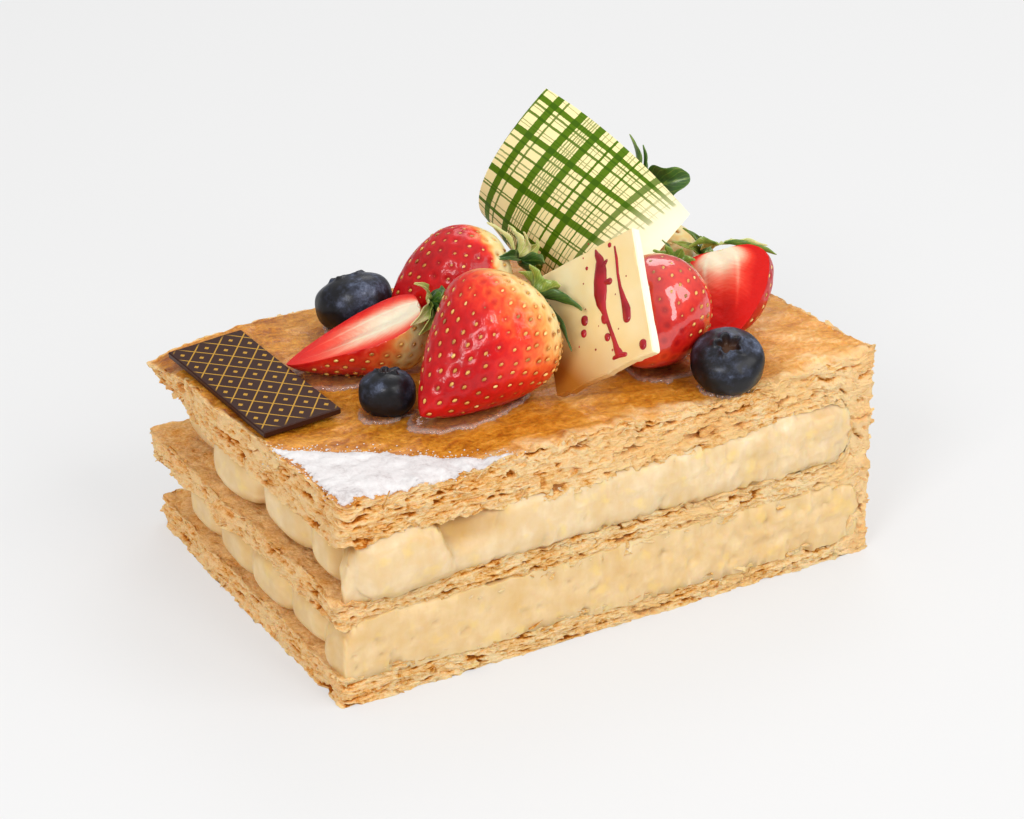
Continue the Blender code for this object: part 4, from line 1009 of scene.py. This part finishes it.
def blueberry_skin():
    """Blueberry skin: dark blue, with a waxy grey bloom that handling has rubbed off in patches, and painted light that
    makes its top paler.
    """
    made, tree, shader = new_material(
        "blueberry_skin", IOR=1.45, Coat_Weight=0.15, Coat_Roughness=0.18, Specular_IOR_Level=0.3)
    place = add(tree, "TexCoord").outputs["Object"]
    crown, upward = [add(tree, "Attribute", attribute_name=name) for name in ("crown", "upward")]
    bloom = add(tree, "TexNoise", place, Scale=150.0, Detail=6.0, Roughness=0.7)
    # Bloom in patches, plus painted light on the top
    bloom_and_top_light = add(tree, "Math", upward, 0.13, bloom, operation="MULTIPLY_ADD")
    colour = add(tree, "ValToRGB", bloom_and_top_light, stops=(
        (0.42, "#08070A"), (0.54, "#12131A"), (0.62, "#2A2E3C"), (0.70, "#4E566A"), (0.84, "#9098AC")))
    feed(
        shader, Base_Color=add(tree, "Mix", Factor=crown, A=colour, B=linear("#4A2E1C"), data_type="RGBA"),
        Roughness=add(tree, "MapRange", bloom, 0.35, 0.7, 0.35, 0.7),
        Normal=add(tree, "Bump", Height=bloom, Strength=0.4, Distance=0.3 * MM))
    return made


# Chocolate pieces

def plate_axes(along, face):
    """Unit vectors of a plate: along its lower side, out of its face, up its side."""
    along = Vector(along).normalized()
    out = Vector(face)
    out = (out - out.dot(along) * along).normalized()
    return np.array(along), np.array(out), np.array(along.cross(-out))


def tile(material):
    """The white chocolate tile, its lower edge melted a little uneven."""
    thing = copy_of_node("white_chocolate_tile")
    edit(thing, (bpy.ops.mesh.subdivide, {"number_cuts": 40}))
    points = points_of(thing)
    normals = normals_of(thing)
    along, _, up = plate_axes(TILE_ALONG, TILE_FACE)
    height = points @ up - (points @ up).min()
    run = points @ along
    corner = (run - run.min()) + 0.7 * height
    # Painted shade and reflected colour: the lower left corner, and a little all along the foot, darkened to a warm tan
    toasted = 0.55 * smooth_step(30.0, 8.0, corner) + 0.45 * smooth_step(16.0, 4.0, corner)
    set_attributes(thing, toasted=toasted + 0.10 * smooth_step(24.0, 2.0, height))
    wavy = 0.3 * noise_along(run / 4.0) + 0.15 * noise_along(run / 1.3 + 40.0)
    points += np.outer(smooth_step(4.0, 0.0, height) * wavy, up)
    points += normals * (0.07 * wave(points, 6, 3) + 0.02 * wave(points, 1.6, 4))[:, None]
    set_points(thing, points)
    shade(thing, 40)
    settle(thing, material, "white_chocolate", "white_chocolate_tile")


def noise_along(places):
    """Smooth noise along one line."""
    return np.array([2.0 * noise.noise(Vector((place, 3.3, 8.1))) for place in places])


def white_chocolate():
    """White chocolate: cocoa butter and milk, cast smooth, ivory, with a soft satin gloss."""
    made, tree, shader = new_material(
        "white_chocolate", IOR=1.46, Roughness=0.32, Coat_Weight=0.3, Coat_Roughness=0.2,
        Subsurface_Weight=0.2, Subsurface_Scale=0.0008, Subsurface_Radius=(1.0, 0.7, 0.35))
    place = add(tree, "TexCoord").outputs["Object"]
    cloud = add(tree, "TexNoise", place, Scale=90.0, Detail=3.0)
    colour = add(tree, "ValToRGB", cloud, stops=((0.3, "#F7D894"), (0.7, "#FDE8B6")))
    # Painted shade and colour reflected from the fruit and pastry, towards the lower left corner and the foot
    toasted = add(tree, "Attribute", attribute_name="toasted")
    colour = add(tree, "Mix", Factor=toasted, A=colour, B=linear("#A96E24"), data_type="RGBA")
    # Painted light: the end face that looks along the lower side, lit from the front right, is made paler
    normal = add(tree, "NewGeometry").outputs["Normal"]
    edge = add(tree, "MapRange", add(tree, "VectorMath", normal, TILE_ALONG, operation="DOT_PRODUCT"), 0.45, 0.85)
    feed(shader, Base_Color=add(tree, "Mix", Factor=edge, A=colour, B=linear("#FFF9E0"), data_type="RGBA"))
    return made


def plaque(material):
    """The dark chocolate plaque, its arrises a little rounded, printed on its upper face alone."""
    thing = copy_of_node("dark_chocolate_plaque")
    edit(thing, (bpy.ops.mesh.subdivide, {"number_cuts": 24}))
    points = points_of(thing)
    set_attributes(thing, printed_face=normals_of(thing)[:, 2] > 0.93)
    points[:, 2] += 0.10 * wave(points, 14, 2)
    set_points(thing, points)
    shade(thing, 30)
    settle(thing, material, "dark_chocolate", "dark_chocolate_plaque")


def dark_chocolate():
    """Dark chocolate cast on a printed film: satin brown with a gold lattice of cocoa-butter print."""
    made, tree, shader = new_material("printed_dark_chocolate", IOR=1.45, Roughness=0.38, Specular_IOR_Level=0.25)
    place = add(tree, "TexCoord").outputs["Object"]
    x, y = add(tree, "SeparateXYZ", place).outputs[:2]
    swings = []
    for slope in (1.25, -1.25):
        slant = add(tree, "Math", x, slope, y, operation="MULTIPLY_ADD")
        cell = add(tree, "Math", slant, LATTICE_PITCH * MM, operation="DIVIDE")
        swings.append(add(tree, "Math", cell, 0.5, operation="PINGPONG"))
    nearest = add(tree, "Math", *swings, operation="MINIMUM")
    line = add(tree, "Math", nearest, 0.035, operation="LESS_THAN")
    dot = add(tree, "Math", nearest, 0.40, operation="GREATER_THAN")
    printed = add(tree, "Math", line, dot, operation="MAXIMUM")
    upward = add(tree, "Attribute", attribute_name="printed_face")
    printed = add(tree, "Math", printed, upward, operation="MULTIPLY")
    gold = add(tree, "Mix", Factor=printed, A=linear("#35160A"), B=linear("#BE8E2C"), data_type="RGBA")
    feed(shader, Base_Color=gold)
    return made


def curled_sheet(material):
    """The curled sheet: a flat square bent round a cylinder, printed with the plaid."""
    axis, outward = [Vector(way) for way in plate_axes(SHEET_AXIS, SHEET_OUTWARD)[:2]]
    across = axis.cross(outward)
    turn = math.radians(SHEET_EDGE_TURN)
    thing = start_from(
        bpy.ops.mesh.primitive_grid_add, "patterned_chocolate_sheet_dressed",
        x_subdivisions=SHEET_SPANS, y_subdivisions=SHEET_SPANS, size=MM)
    (left, right), (low, high) = SHEET_REACH
    shares = points_of(thing)[:, :2] + 0.5
    a = left + shares[:, 0] * (right - left)
    b = low + shares[:, 1] * (high - low)
    b = b + np.where(b > 0, SHEET_BOW * b / high * (1.0 - (a / right) ** 2), 0.0)
    angle = (a * math.cos(turn) - b * math.sin(turn)) / SHEET_CURL_RADIUS
    bent = np.outer(np.sin(angle), across) + np.outer(np.cos(angle) - 1.0, outward)
    along = np.outer(a * math.sin(turn) + b * math.cos(turn), axis)
    set_points(thing, np.array(SHEET_MIDDLE) + along + SHEET_CURL_RADIUS * bent)
    lean = 0.03 + 0.15 * smooth_step(3, 12, a)
    level = b - (a + 24.0) * (0.058 - 0.0017 * b)
    set_attributes(thing, plaid_upright=a + lean * (24.0 - b), plaid_level=level)
    thing.data.update()
    middle_face = min(thing.data.polygons, key=lambda polygon: (polygon.center / MM - Vector(SHEET_MIDDLE)).length)
    if middle_face.normal.dot(outward) < 0:
        thing.data.flip_normals()
    apply_modifier(thing, "SOLIDIFY", thickness=SHEET_THICKNESS * MM, offset=-1.0)
    node_low, node_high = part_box("patterned_chocolate_sheet")
    points = points_of(thing)
    set_points(thing, points + np.array(node_high) / MM - points.max(0))
    foot = {"plane_co": (0, 0, node_low.z), "plane_no": (0, 0, 1), "use_fill": True, "clear_inner": True}
    edit(thing, (bpy.ops.mesh.bisect, foot))
    shade(thing, 40)
    settle(thing, material, "white_chocolate", "patterned_chocolate_sheet")


def plaid_bands(tree, value, bands, low, high):
    """A ramp that is bright on each printed band of one direction."""
    stops = [(0.0, 0.0)]
    for middle, width, strength in sorted(bands):
        stops.append(((middle - 0.5 * width - low) / (high - low), strength))
        stops.append(((middle + 0.5 * width - low) / (high - low), 0.0))
    ramp = add(tree, "ValToRGB", add(tree, "MapRange", value, low, high))
    set_ramp(ramp, stops, "CONSTANT")
    return ramp


def plaid_chocolate():
    """White chocolate set on a transfer film: green cocoa-butter print, a little worn, in crossing bands."""
    made, tree, shader = new_material(
        "plaid_white_chocolate", IOR=1.45, Roughness=0.55, Specular_IOR_Level=0.12,
        Subsurface_Weight=0.1, Subsurface_Scale=0.0005, Subsurface_Radius=(1.0, 0.8, 0.4))
    place = add(tree, "TexCoord").outputs["Object"]
    tremble = add(tree, "TexNoise", place, Scale=700.0, Detail=3.0)
    upright, level = [add(tree, "Attribute", attribute_name=name) for name in ("plaid_upright", "plaid_level")]
    u = add(tree, "Math", tremble, 0.35, upright, operation="MULTIPLY_ADD")
    v = add(tree, "Math", tremble, -0.35, level, operation="MULTIPLY_ADD")
    left, right = [plaid_bands(tree, u, *family) for family in (PLAID_LEFT, PLAID_RIGHT)]
    upper, lower = [plaid_bands(tree, v, *family) for family in (PLAID_UPPER, PLAID_LOWER)]
    across = add(tree, "Math", left, right, operation="MAXIMUM")
    along = add(tree, "Math", upper, lower, operation="MAXIMUM")
    printed = add(tree, "Math", across, along, operation="MAXIMUM")
    both = add(tree, "Math", across, along, operation="MULTIPLY")
    fade = add(tree, "MapRange", upright, 13.0, 24.0, 1.0, 0.3)
    for part in (add(tree, "MapRange", u, 20.2, 21.0, 1.0, 0.0), fade):
        printed = add(tree, "Math", printed, part, operation="MULTIPLY")
    green = add(tree, "Mix", Factor=both, A=linear("#52720A"), B=linear("#3C5E00"), data_type="RGBA")
    cream = add(tree, "Mix", Factor=fade, A=linear("#FFFBE0"), B=linear("#F3E2A8"), data_type="RGBA")
    feed(shader, Base_Color=add(tree, "Mix", Factor=printed, A=cream, B=green, data_type="RGBA"))
    return made


# Sugar, jelly and sauce

ABOVE_TOP = 60.0  # rays that look for the top start at this height


def top_surface(thing):
    """A finder of the height of a piece's upper side at a place, in millimetres."""
    tree = BVHTree.FromObject(thing, bpy.context.evaluated_depsgraph_get())

    def height(x, y):
        place = tree.ray_cast(Vector((x, y, ABOVE_TOP)) * MM, Vector((0, 0, -1)))[0]
        return None if place is None else place.z / MM

    return height


def inside_by(outline, x, y):
    """How far a place lies inside an outline, in millimetres, negative outside."""
    nearest = 1e9
    inside = False
    for (ax, ay), (bx, by) in zip(outline, outline[1:] + outline[:1]):
        run = Vector((bx - ax, by - ay))
        share = max(0.0, min(1.0, Vector((x - ax, y - ay)).dot(run) / run.length_squared))
        nearest = min(nearest, math.hypot(x - ax - share * run.x, y - ay - share * run.y))
        if (ay > y) != (by > y) and x < ax + (y - ay) / (by - ay) * (bx - ax):
            inside = not inside
    return nearest if inside else -nearest


MOST_STEP = 0.9  # a layer ends where the pastry under it drops by more than this
LAYER_SINK = 0.25  # how deep a layer's underside reaches into the pastry


def spread_layer(name, height, box, step, thickness):
    """A closed thin layer on the top sheet: each small square where it has a thickness, its sides walled."""
    (low_x, low_y), (high_x, high_y) = box
    columns = int((high_x - low_x) / step)
    rows = int((high_y - low_y) / step)
    upper = {}
    for i in range(columns + 1):
        for j in range(rows + 1):
            x, y = low_x + i * step, low_y + j * step
            depth = thickness(x, y)
            floor_height = height(x, y) if depth > 0 else None
            if floor_height is not None:
                upper[i, j] = (x, y, floor_height, depth)
    points = []
    index = {}

    def corner(key, top):
        if (key, top) not in index:
            x, y, floor_height, depth = upper[key]
            index[key, top] = len(points)
            points.append((x, y, floor_height + depth if top else floor_height - LAYER_SINK))
        return index[key, top]

    cells = []
    for i, j in upper:
        ring = [(i, j), (i + 1, j), (i + 1, j + 1), (i, j + 1)]
        if all(key in upper for key in ring):
            heights = [upper[key][2] for key in ring]
            if max(heights) - min(heights) < MOST_STEP:
                cells.append((i, j))
    filled = set(cells)
    faces = []
    for i, j in cells:
        ring = [(i, j), (i + 1, j), (i + 1, j + 1), (i, j + 1)]
        faces.append([corner(key, True) for key in ring])
        faces.append([corner(key, False) for key in reversed(ring)])
        beside = ((i, j - 1), (i + 1, j), (i, j + 1), (i - 1, j))
        for number, other in enumerate(beside):
            if other not in filled:
                a, b = ring[number], ring[(number + 1) % 4]
                faces.append([corner(a, False), corner(b, False), corner(b, True), corner(a, True)])
    return mesh_from(name, points, faces, 80)


STRAY_GRAINS = 300
LOWEST_TOP = 46  # the top sheet's face lies above this, its ragged sides below
SUGAR_OUTLINE = [
    (-76.2, -16.6), (-73.6, -28.5), (-74.4, -40.0), (-73.9, -49.6), (-64.0, -50.4), (-52.0, -50.6), (-42.0, -50.9),
    (-27.5, -51.9), (-37.0, -45.2), (-57.0, -29.7),
]


def icing_sugar(height, material):
    """Icing sugar sieved over a corner of the top: a soft uneven blanket, and grains strayed round its edge."""
    def thickness(x, y):
        along_straight_side = (x + 76.2) * 35.0 + (y + 16.6) * 45.2 > -250
        ragged = 0.9 * ripple(x, y, 1.6, 3) + 0.7 * ripple(x, y, 0.8, 7)
        depth = inside_by(SUGAR_OUTLINE, x, y) + ragged * (0.45 if along_straight_side else 1.0) - 0.3
        if depth <= 0:
            return 0.0
        soft = 0.25 * ripple(x, y, 2.6, 11) + 0.16 * ripple(x, y, 0.9, 13)
        return max(0.08, min(0.55, 0.35 * depth) + soft)
    settle(spread_layer("icing_sugar", height, ((-78, -53), (-29, -14)), 0.45, thickness), material, "pastry")
    template = start_from(bpy.ops.mesh.primitive_ico_sphere_add, subdivisions=1, radius=MM)
    set_points(template, points_of(template) * (1.0, 0.8, 0.7))
    draw = random.Random(5)
    matrices = []
    while len(matrices) < STRAY_GRAINS:
        x = draw.uniform(-77, -26)
        y = draw.uniform(-52, -12)
        inside = inside_by(SUGAR_OUTLINE, x, y)
        if abs(inside) > 0.4 + 4.0 * draw.random() ** 3:
            continue
        floor_height = height(x, y)
        if floor_height is None or floor_height < LOWEST_TOP:
            continue
        size = draw.uniform(0.10, 0.26)
        lift = 0.4 if inside > 0 else 0.02
        matrices.append(Matrix.Translation((x, y, floor_height + lift + 0.4 * size)) @ Matrix.Scale(size, 4))
    settle(scatter("sugar_grains", template, matrices), material, "pastry")


def sugar():
    """Icing sugar: dry white powder, matt and grainy, with no shine."""
    made, tree, shader = new_material("icing_sugar", IOR=1.45, Roughness=1.0, Specular_IOR_Level=0.1)
    place = add(tree, "TexCoord").outputs["Object"]
    grain = add(tree, "TexNoise", place, Scale=900.0, Detail=4.0, Roughness=0.7)
    soft = add(tree, "TexNoise", place, Scale=160.0, Detail=2.0)
    tone = add(tree, "Math", grain, soft, operation="ADD")
    tone = add(tree, "MapRange", tone, 0.7, 1.2)
    colour = add(tree, "ValToRGB", tone, stops=((0.0, "#C6BFBE"), (0.35, "#D8D3D2"), (1.0, "#E4E1E0")))
    bump = add(tree, "Bump", Height=grain, Strength=0.7, Distance=0.3 * MM)
    feed(shader, Base_Color=colour, Normal=bump)
    return made


# Pools of clear jelly: middle, half length and half width, turn
JELLY_POOLS = (
    ((-26.5, -24.0), 18.0, 8.6, 8.0), ((-43.5, -14.0), 8.2, 6.4, 30.0), ((-41.0, 9.5), 15.0, 8.5, -15.0),
    ((27.5, -27.0), 11.0, 9.5, 20.0), ((33.5, -44.6), 8.0, 6.2, -10.0), ((48.0, -19.0), 9.5, 9.0, 0.0),
    ((-6.0, 18.0), 14.0, 9.5, -15.0), ((-27.0, 31.5), 8.6, 7.6, 0.0),
)


def jelly_depth(x, y):
    """How far inside a pool's uneven border a place is: 0 at the border, 1 in the middle."""
    inside = -1.0
    for (middle_x, middle_y), half_long, half_wide, turn in JELLY_POOLS:
        turn = math.radians(turn)
        along = (x - middle_x) * math.cos(turn) + (y - middle_y) * math.sin(turn)
        aside = (y - middle_y) * math.cos(turn) - (x - middle_x) * math.sin(turn)
        inside = max(inside, 1.0 - math.hypot(along / half_long, aside / half_wide))
    return inside + 0.10 * ripple(x, y, 5.0, 2) + 0.05 * ripple(x, y, 1.8, 5)


def jelly(height, material):
    """Pools of clear glaze run down from the fruit, thickest at a rounded rim."""
    def thickness(x, y):
        inside = jelly_depth(x, y)
        return 0.0 if inside <= 0 else 0.9 * min(1.0, 7.0 * inside) ** 0.5
    pools = spread_layer("jelly_glaze", height, ((-62, -54), (62, 44)), 0.7, thickness)
    apply_modifier(pools, "SMOOTH", factor=0.5, iterations=3)
    depths = np.array([jelly_depth(x, y) for x, y in points_of(pools)[:, :2]])
    # rim carries a painted highlight: the border is made less clear and paler, like a glossy rim catching the light
    set_attributes(pools, rim=smooth_step(0.17, 0.07, depths))
    shade(pools, 80)
    settle(pools, material, "strawberry")


def clear_jelly():
    """Clear fruit jelly: water-bright and glassy, with a faint pink from the juice."""
    made, tree, shader = new_material("clear_fruit_jelly", IOR=1.36, Roughness=0.04)
    # Painted highlight: less clear and paler towards the rim
    clear = add(tree, "MapRange", add(tree, "Attribute", attribute_name="rim"), To_Min=0.96, To_Max=0.72)
    place = add(tree, "TexCoord").outputs["Object"]
    cloud = add(tree, "TexNoise", place, Scale=120.0, Detail=2.0)
    colour = add(tree, "ValToRGB", cloud, stops=((0.3, "#F6D3C4"), (0.7, "#FBE9DC")))
    feed(shader, Transmission_Weight=clear, Base_Color=colour)
    return made


# Red sauce on the tile, in millimetres along and up its face from its lower left corner: place, half width
SAUCE_RUNS = (
    ((19.4, 30.4, 0.3), (19.6, 29.2, 0.75), (20.2, 27.6, 1.2), (19.9, 25.0, 1.9), (19.2, 22.4, 2.1), (18.7, 19.6, 2.1),
     (18.5, 17.2, 1.6), (18.9, 15.0, 0.9), (19.4, 12.6, 0.6), (20.0, 9.6, 0.55), (20.6, 6.6, 0.65), (20.9, 4.4, 0.9),
     (21.3, 3.2, 1.2)),
    ((19.6, 2.6, 0.5), (21.4, 2.8, 0.8), (23.2, 2.2, 0.55)),
    ((25.3, 28.9, 0.25), (25.3, 25.8, 0.42), (24.9, 22.0, 0.4), (25.0, 18.4, 0.55), (25.4, 15.2, 0.85),
     (25.7, 12.6, 1.3), (25.5, 10.6, 1.25)),
    ((20.8, 25.8, 0.8), (22.2, 26.6, 0.4)),
    ((20.6, 21.6, 0.6), (22.1, 21.3, 0.85)),
)
SAUCE_DOTS = (
    (23.9, 30.0, 0.55), (15.8, 27.3, 0.42), (12.6, 15.1, 1.15), (11.7, 12.1, 0.9), (18.8, 13.1, 1.15), (18.7, 8.4, 0.9),
    (19.6, 4.7, 0.3), (28.9, 2.6, 1.15), (15.2, 30.2, 0.18), (14.0, 24.0, 0.2), (13.4, 17.6, 0.2), (16.6, 12.0, 0.2),
    (23.2, 17.5, 0.22), (22.4, 9.0, 0.2), (14.5, 6.8, 0.25), (9.6, 9.4, 0.2), (27.3, 20.5, 0.2), (17.5, 33.0, 0.2),
)
SAUCE_HEIGHT = 0.5
SAUCE_SIDES = 14


def sauce_run(run):
    """One run of sauce: a flat tube along its path, round at both ends."""
    sections = []
    for (ax, az, ar), (bx, bz, br) in zip(run, run[1:]):
        for share in (0.0, 0.25, 0.5, 0.75):
            sections.append((ax + (bx - ax) * share, az + (bz - az) * share, ar + (br - ar) * share))
    sections.append(run[-1])
    path = [np.array(section[:2]) for section in sections]
    first, last = path[0] - path[1], path[-1] - path[-2]
    first, last = first / np.linalg.norm(first), last / np.linalg.norm(last)
    start, end = sections[0][2], sections[-1][2]
    head = [(*(path[0] + first * start * math.sin(t)), start * math.cos(t)) for t in (1.45, 1.1, 0.7, 0.35)]
    tail = [(*(path[-1] + last * end * math.sin(t)), end * math.cos(t)) for t in (0.35, 0.7, 1.1, 1.45)]
    sections = head + sections + tail
    points = []
    for number, (x, z, radius) in enumerate(sections):
        before = np.array(sections[max(0, number - 1)][:2])
        after = np.array(sections[min(len(sections) - 1, number + 1)][:2])
        run_way = (after - before) / max(1e-6, np.linalg.norm(after - before))
        aside = np.array((run_way[1], -run_way[0]))
        for step in range(SAUCE_SIDES):
            angle = 2 * math.pi * step / SAUCE_SIDES
            spot = np.array((x, z)) + aside * radius * math.cos(angle)
            points.append((spot[0], spot[1], min(SAUCE_HEIGHT, 0.6 * radius) * math.sin(angle)))
    faces = []
    for number in range(len(sections) - 1):
        for step in range(SAUCE_SIDES):
            a = number * SAUCE_SIDES + step
            b = number * SAUCE_SIDES + (step + 1) % SAUCE_SIDES
            faces.append([a, b, b + SAUCE_SIDES, a + SAUCE_SIDES])
    faces.append(list(reversed(range(SAUCE_SIDES))))
    faces.append(list(range(len(points) - SAUCE_SIDES, len(points))))
    return points, faces


def sauce_on_tile(material):
    """The red sauce's drips and dots, raised a little from the tile's face."""
    along, out, up = plate_axes(TILE_ALONG, TILE_FACE)
    body = points_of(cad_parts["white_chocolate_tile"])
    origin = along * (body @ along).min() + up * (body @ up).min() + out * (body @ out).max()
    points = []
    faces = []
    dots = [((x, z + 0.02, radius), (x, z - 0.3 * radius, 0.96 * radius)) for x, z, radius in SAUCE_DOTS]
    for run in (*SAUCE_RUNS, *dots):
        run_points, run_faces = sauce_run(run)
        start = len(points)
        points.extend(origin + along * x + up * z + out * height for x, z, height in run_points)
        faces.extend([[corner + start for corner in face] for face in run_faces])
    thing = mesh_from("red_sauce_drips", points, faces)
    edit(thing, (bpy.ops.mesh.normals_make_consistent, {"inside": False}))
    shade(thing, 80)
    settle(thing, material, "strawberry")


def red_sauce():
    """Raspberry sauce: sieved fruit and sugar, dark red and glossy, paler where it thins."""
    made, tree, shader = new_material(
        "red_fruit_sauce", IOR=1.42, Roughness=0.22, Coat_Weight=0.4, Coat_Roughness=0.08)
    place = add(tree, "TexCoord").outputs["Object"]
    cloud = add(tree, "TexNoise", place, Scale=220.0, Detail=3.0)
    colour = add(tree, "ValToRGB", cloud, stops=((0.35, "#8E0A18"), (0.6, "#B01222")))
    feed(shader, Base_Color=colour)
    return made


# Stage

# Studio: a pale table lit from below and a dome that is dim near the horizon, in linear light
FLOOR_GLOW = 0.444
DOME = (0.235, 0.785)
BACKDROP = 0.88


def softbox(name, place, size, power):
    """A studio light of this width and height at this place in metres, aimed at the cake."""
    light = bpy.data.lights.new(name, "AREA")
    light.energy = power
    light.shape = "RECTANGLE"
    light.size, light.size_y = size
    lamp = bpy.data.objects.new(name, light)
    lamp.location = place
    lamp.rotation_euler = (Vector(place) - Vector((0, 0, 0.04))).to_track_quat("Z", "Y").to_euler()
    bpy.context.scene.collection.objects.link(lamp)


def stage():
    """A pale floor, soft light and the camera."""
    floor = start_from(bpy.ops.mesh.primitive_plane_add, "floor", size=12.0, location=(0, 0, -0.02 * MM))
    made, tree, _ = new_material(
        "pale_floor", Base_Color=linear("#A6A6A6"), Roughness=0.9, Specular_IOR_Level=0.1,
        Emission_Strength=FLOOR_GLOW, Emission_Color=linear(1.0))
    floor.data.materials.append(made)
    world = bpy.data.worlds.new("studio")
    world.use_nodes = True
    bpy.context.scene.world = world
    tree = world.node_tree
    rise = add(tree, "SeparateXYZ", add(tree, "TexCoord").outputs["Generated"]).outputs["Z"]
    dome = add(tree, "MapRange", rise, 0.1, 0.8, *DOME)
    seen = add(tree, "LightPath").outputs["Is Camera Ray"]
    light = add(tree, "Mix", Factor=seen, A=dome, B=BACKDROP, data_type="FLOAT")
    feed(tree.nodes["Background"], Strength=light, Color=linear(1.0))
    softbox("key", (0.75, -0.85, 0.95), (0.7, 0.7), 5.1)
    softbox("window", (0.22, -1.25, 0.85), (0.34, 1.25), 6.4)
    softbox("front_left", (-1.05, -0.65, 0.85), (0.45, 0.45), 8.8)
    softbox("rear_right", (0.7, 0.8, 1.0), (0.6, 0.6), 3.1)
    back = direction(CAMERA_AZIMUTH - 90.0, CAMERA_ELEVATION)
    lens = bpy.data.cameras.new("camera")
    lens.lens = CAMERA_LENS
    lens.sensor_width = 36.0
    lens.clip_start = 0.01
    lens.clip_end = 50.0
    camera = bpy.data.objects.new("camera", lens)
    camera.location = (Vector(CAMERA_TARGET) + back * CAMERA_DISTANCE) * MM
    camera.rotation_euler = back.to_track_quat("Z", "Y").to_euler()
    bpy.context.scene.collection.objects.link(camera)
    bpy.context.scene.camera = camera
    bpy.context.scene.view_settings.view_transform = "Standard"


berry_middle_of = {name: berry_middle(name) for name in BERRY_ORDER}
pastry_finish = puff_pastry()
bottom_sheet = baked_sheet("pastry_bottom", 1, pastry_finish)
middle_sheet = baked_sheet("pastry_middle", 21, pastry_finish)
top_sheet = baked_sheet("pastry_top", 41, pastry_finish, glazed=True)
flakes(((bottom_sheet, 420), (middle_sheet, 520), (top_sheet, 620)), pastry_finish)
custard_finish = custard()
piped_custard("custard_lower", 61, custard_finish)
piped_custard("custard_upper", 71, custard_finish)
skin_finish = strawberry_skin()
flesh_finish = strawberry_flesh()
leaf_finish = sepal_leaf()
all_seeds = []
for berry_name in BERRY_ORDER:
    strawberry(berry_name, skin_finish, flesh_finish, all_seeds)
    calyx(berry_name, leaf_finish)
seed_piece(all_seeds, strawberry_seed())
blue_finish = blueberry_skin()
for berry_name in BLUEBERRIES:
    blueberry(berry_name, blue_finish)
tile(white_chocolate())
plaque(dark_chocolate())
curled_sheet(plaid_chocolate())
sauce_on_tile(red_sauce())
top_height = top_surface(top_sheet)
icing_sugar(top_height, sugar())
jelly(top_height, clear_jelly())
stage()
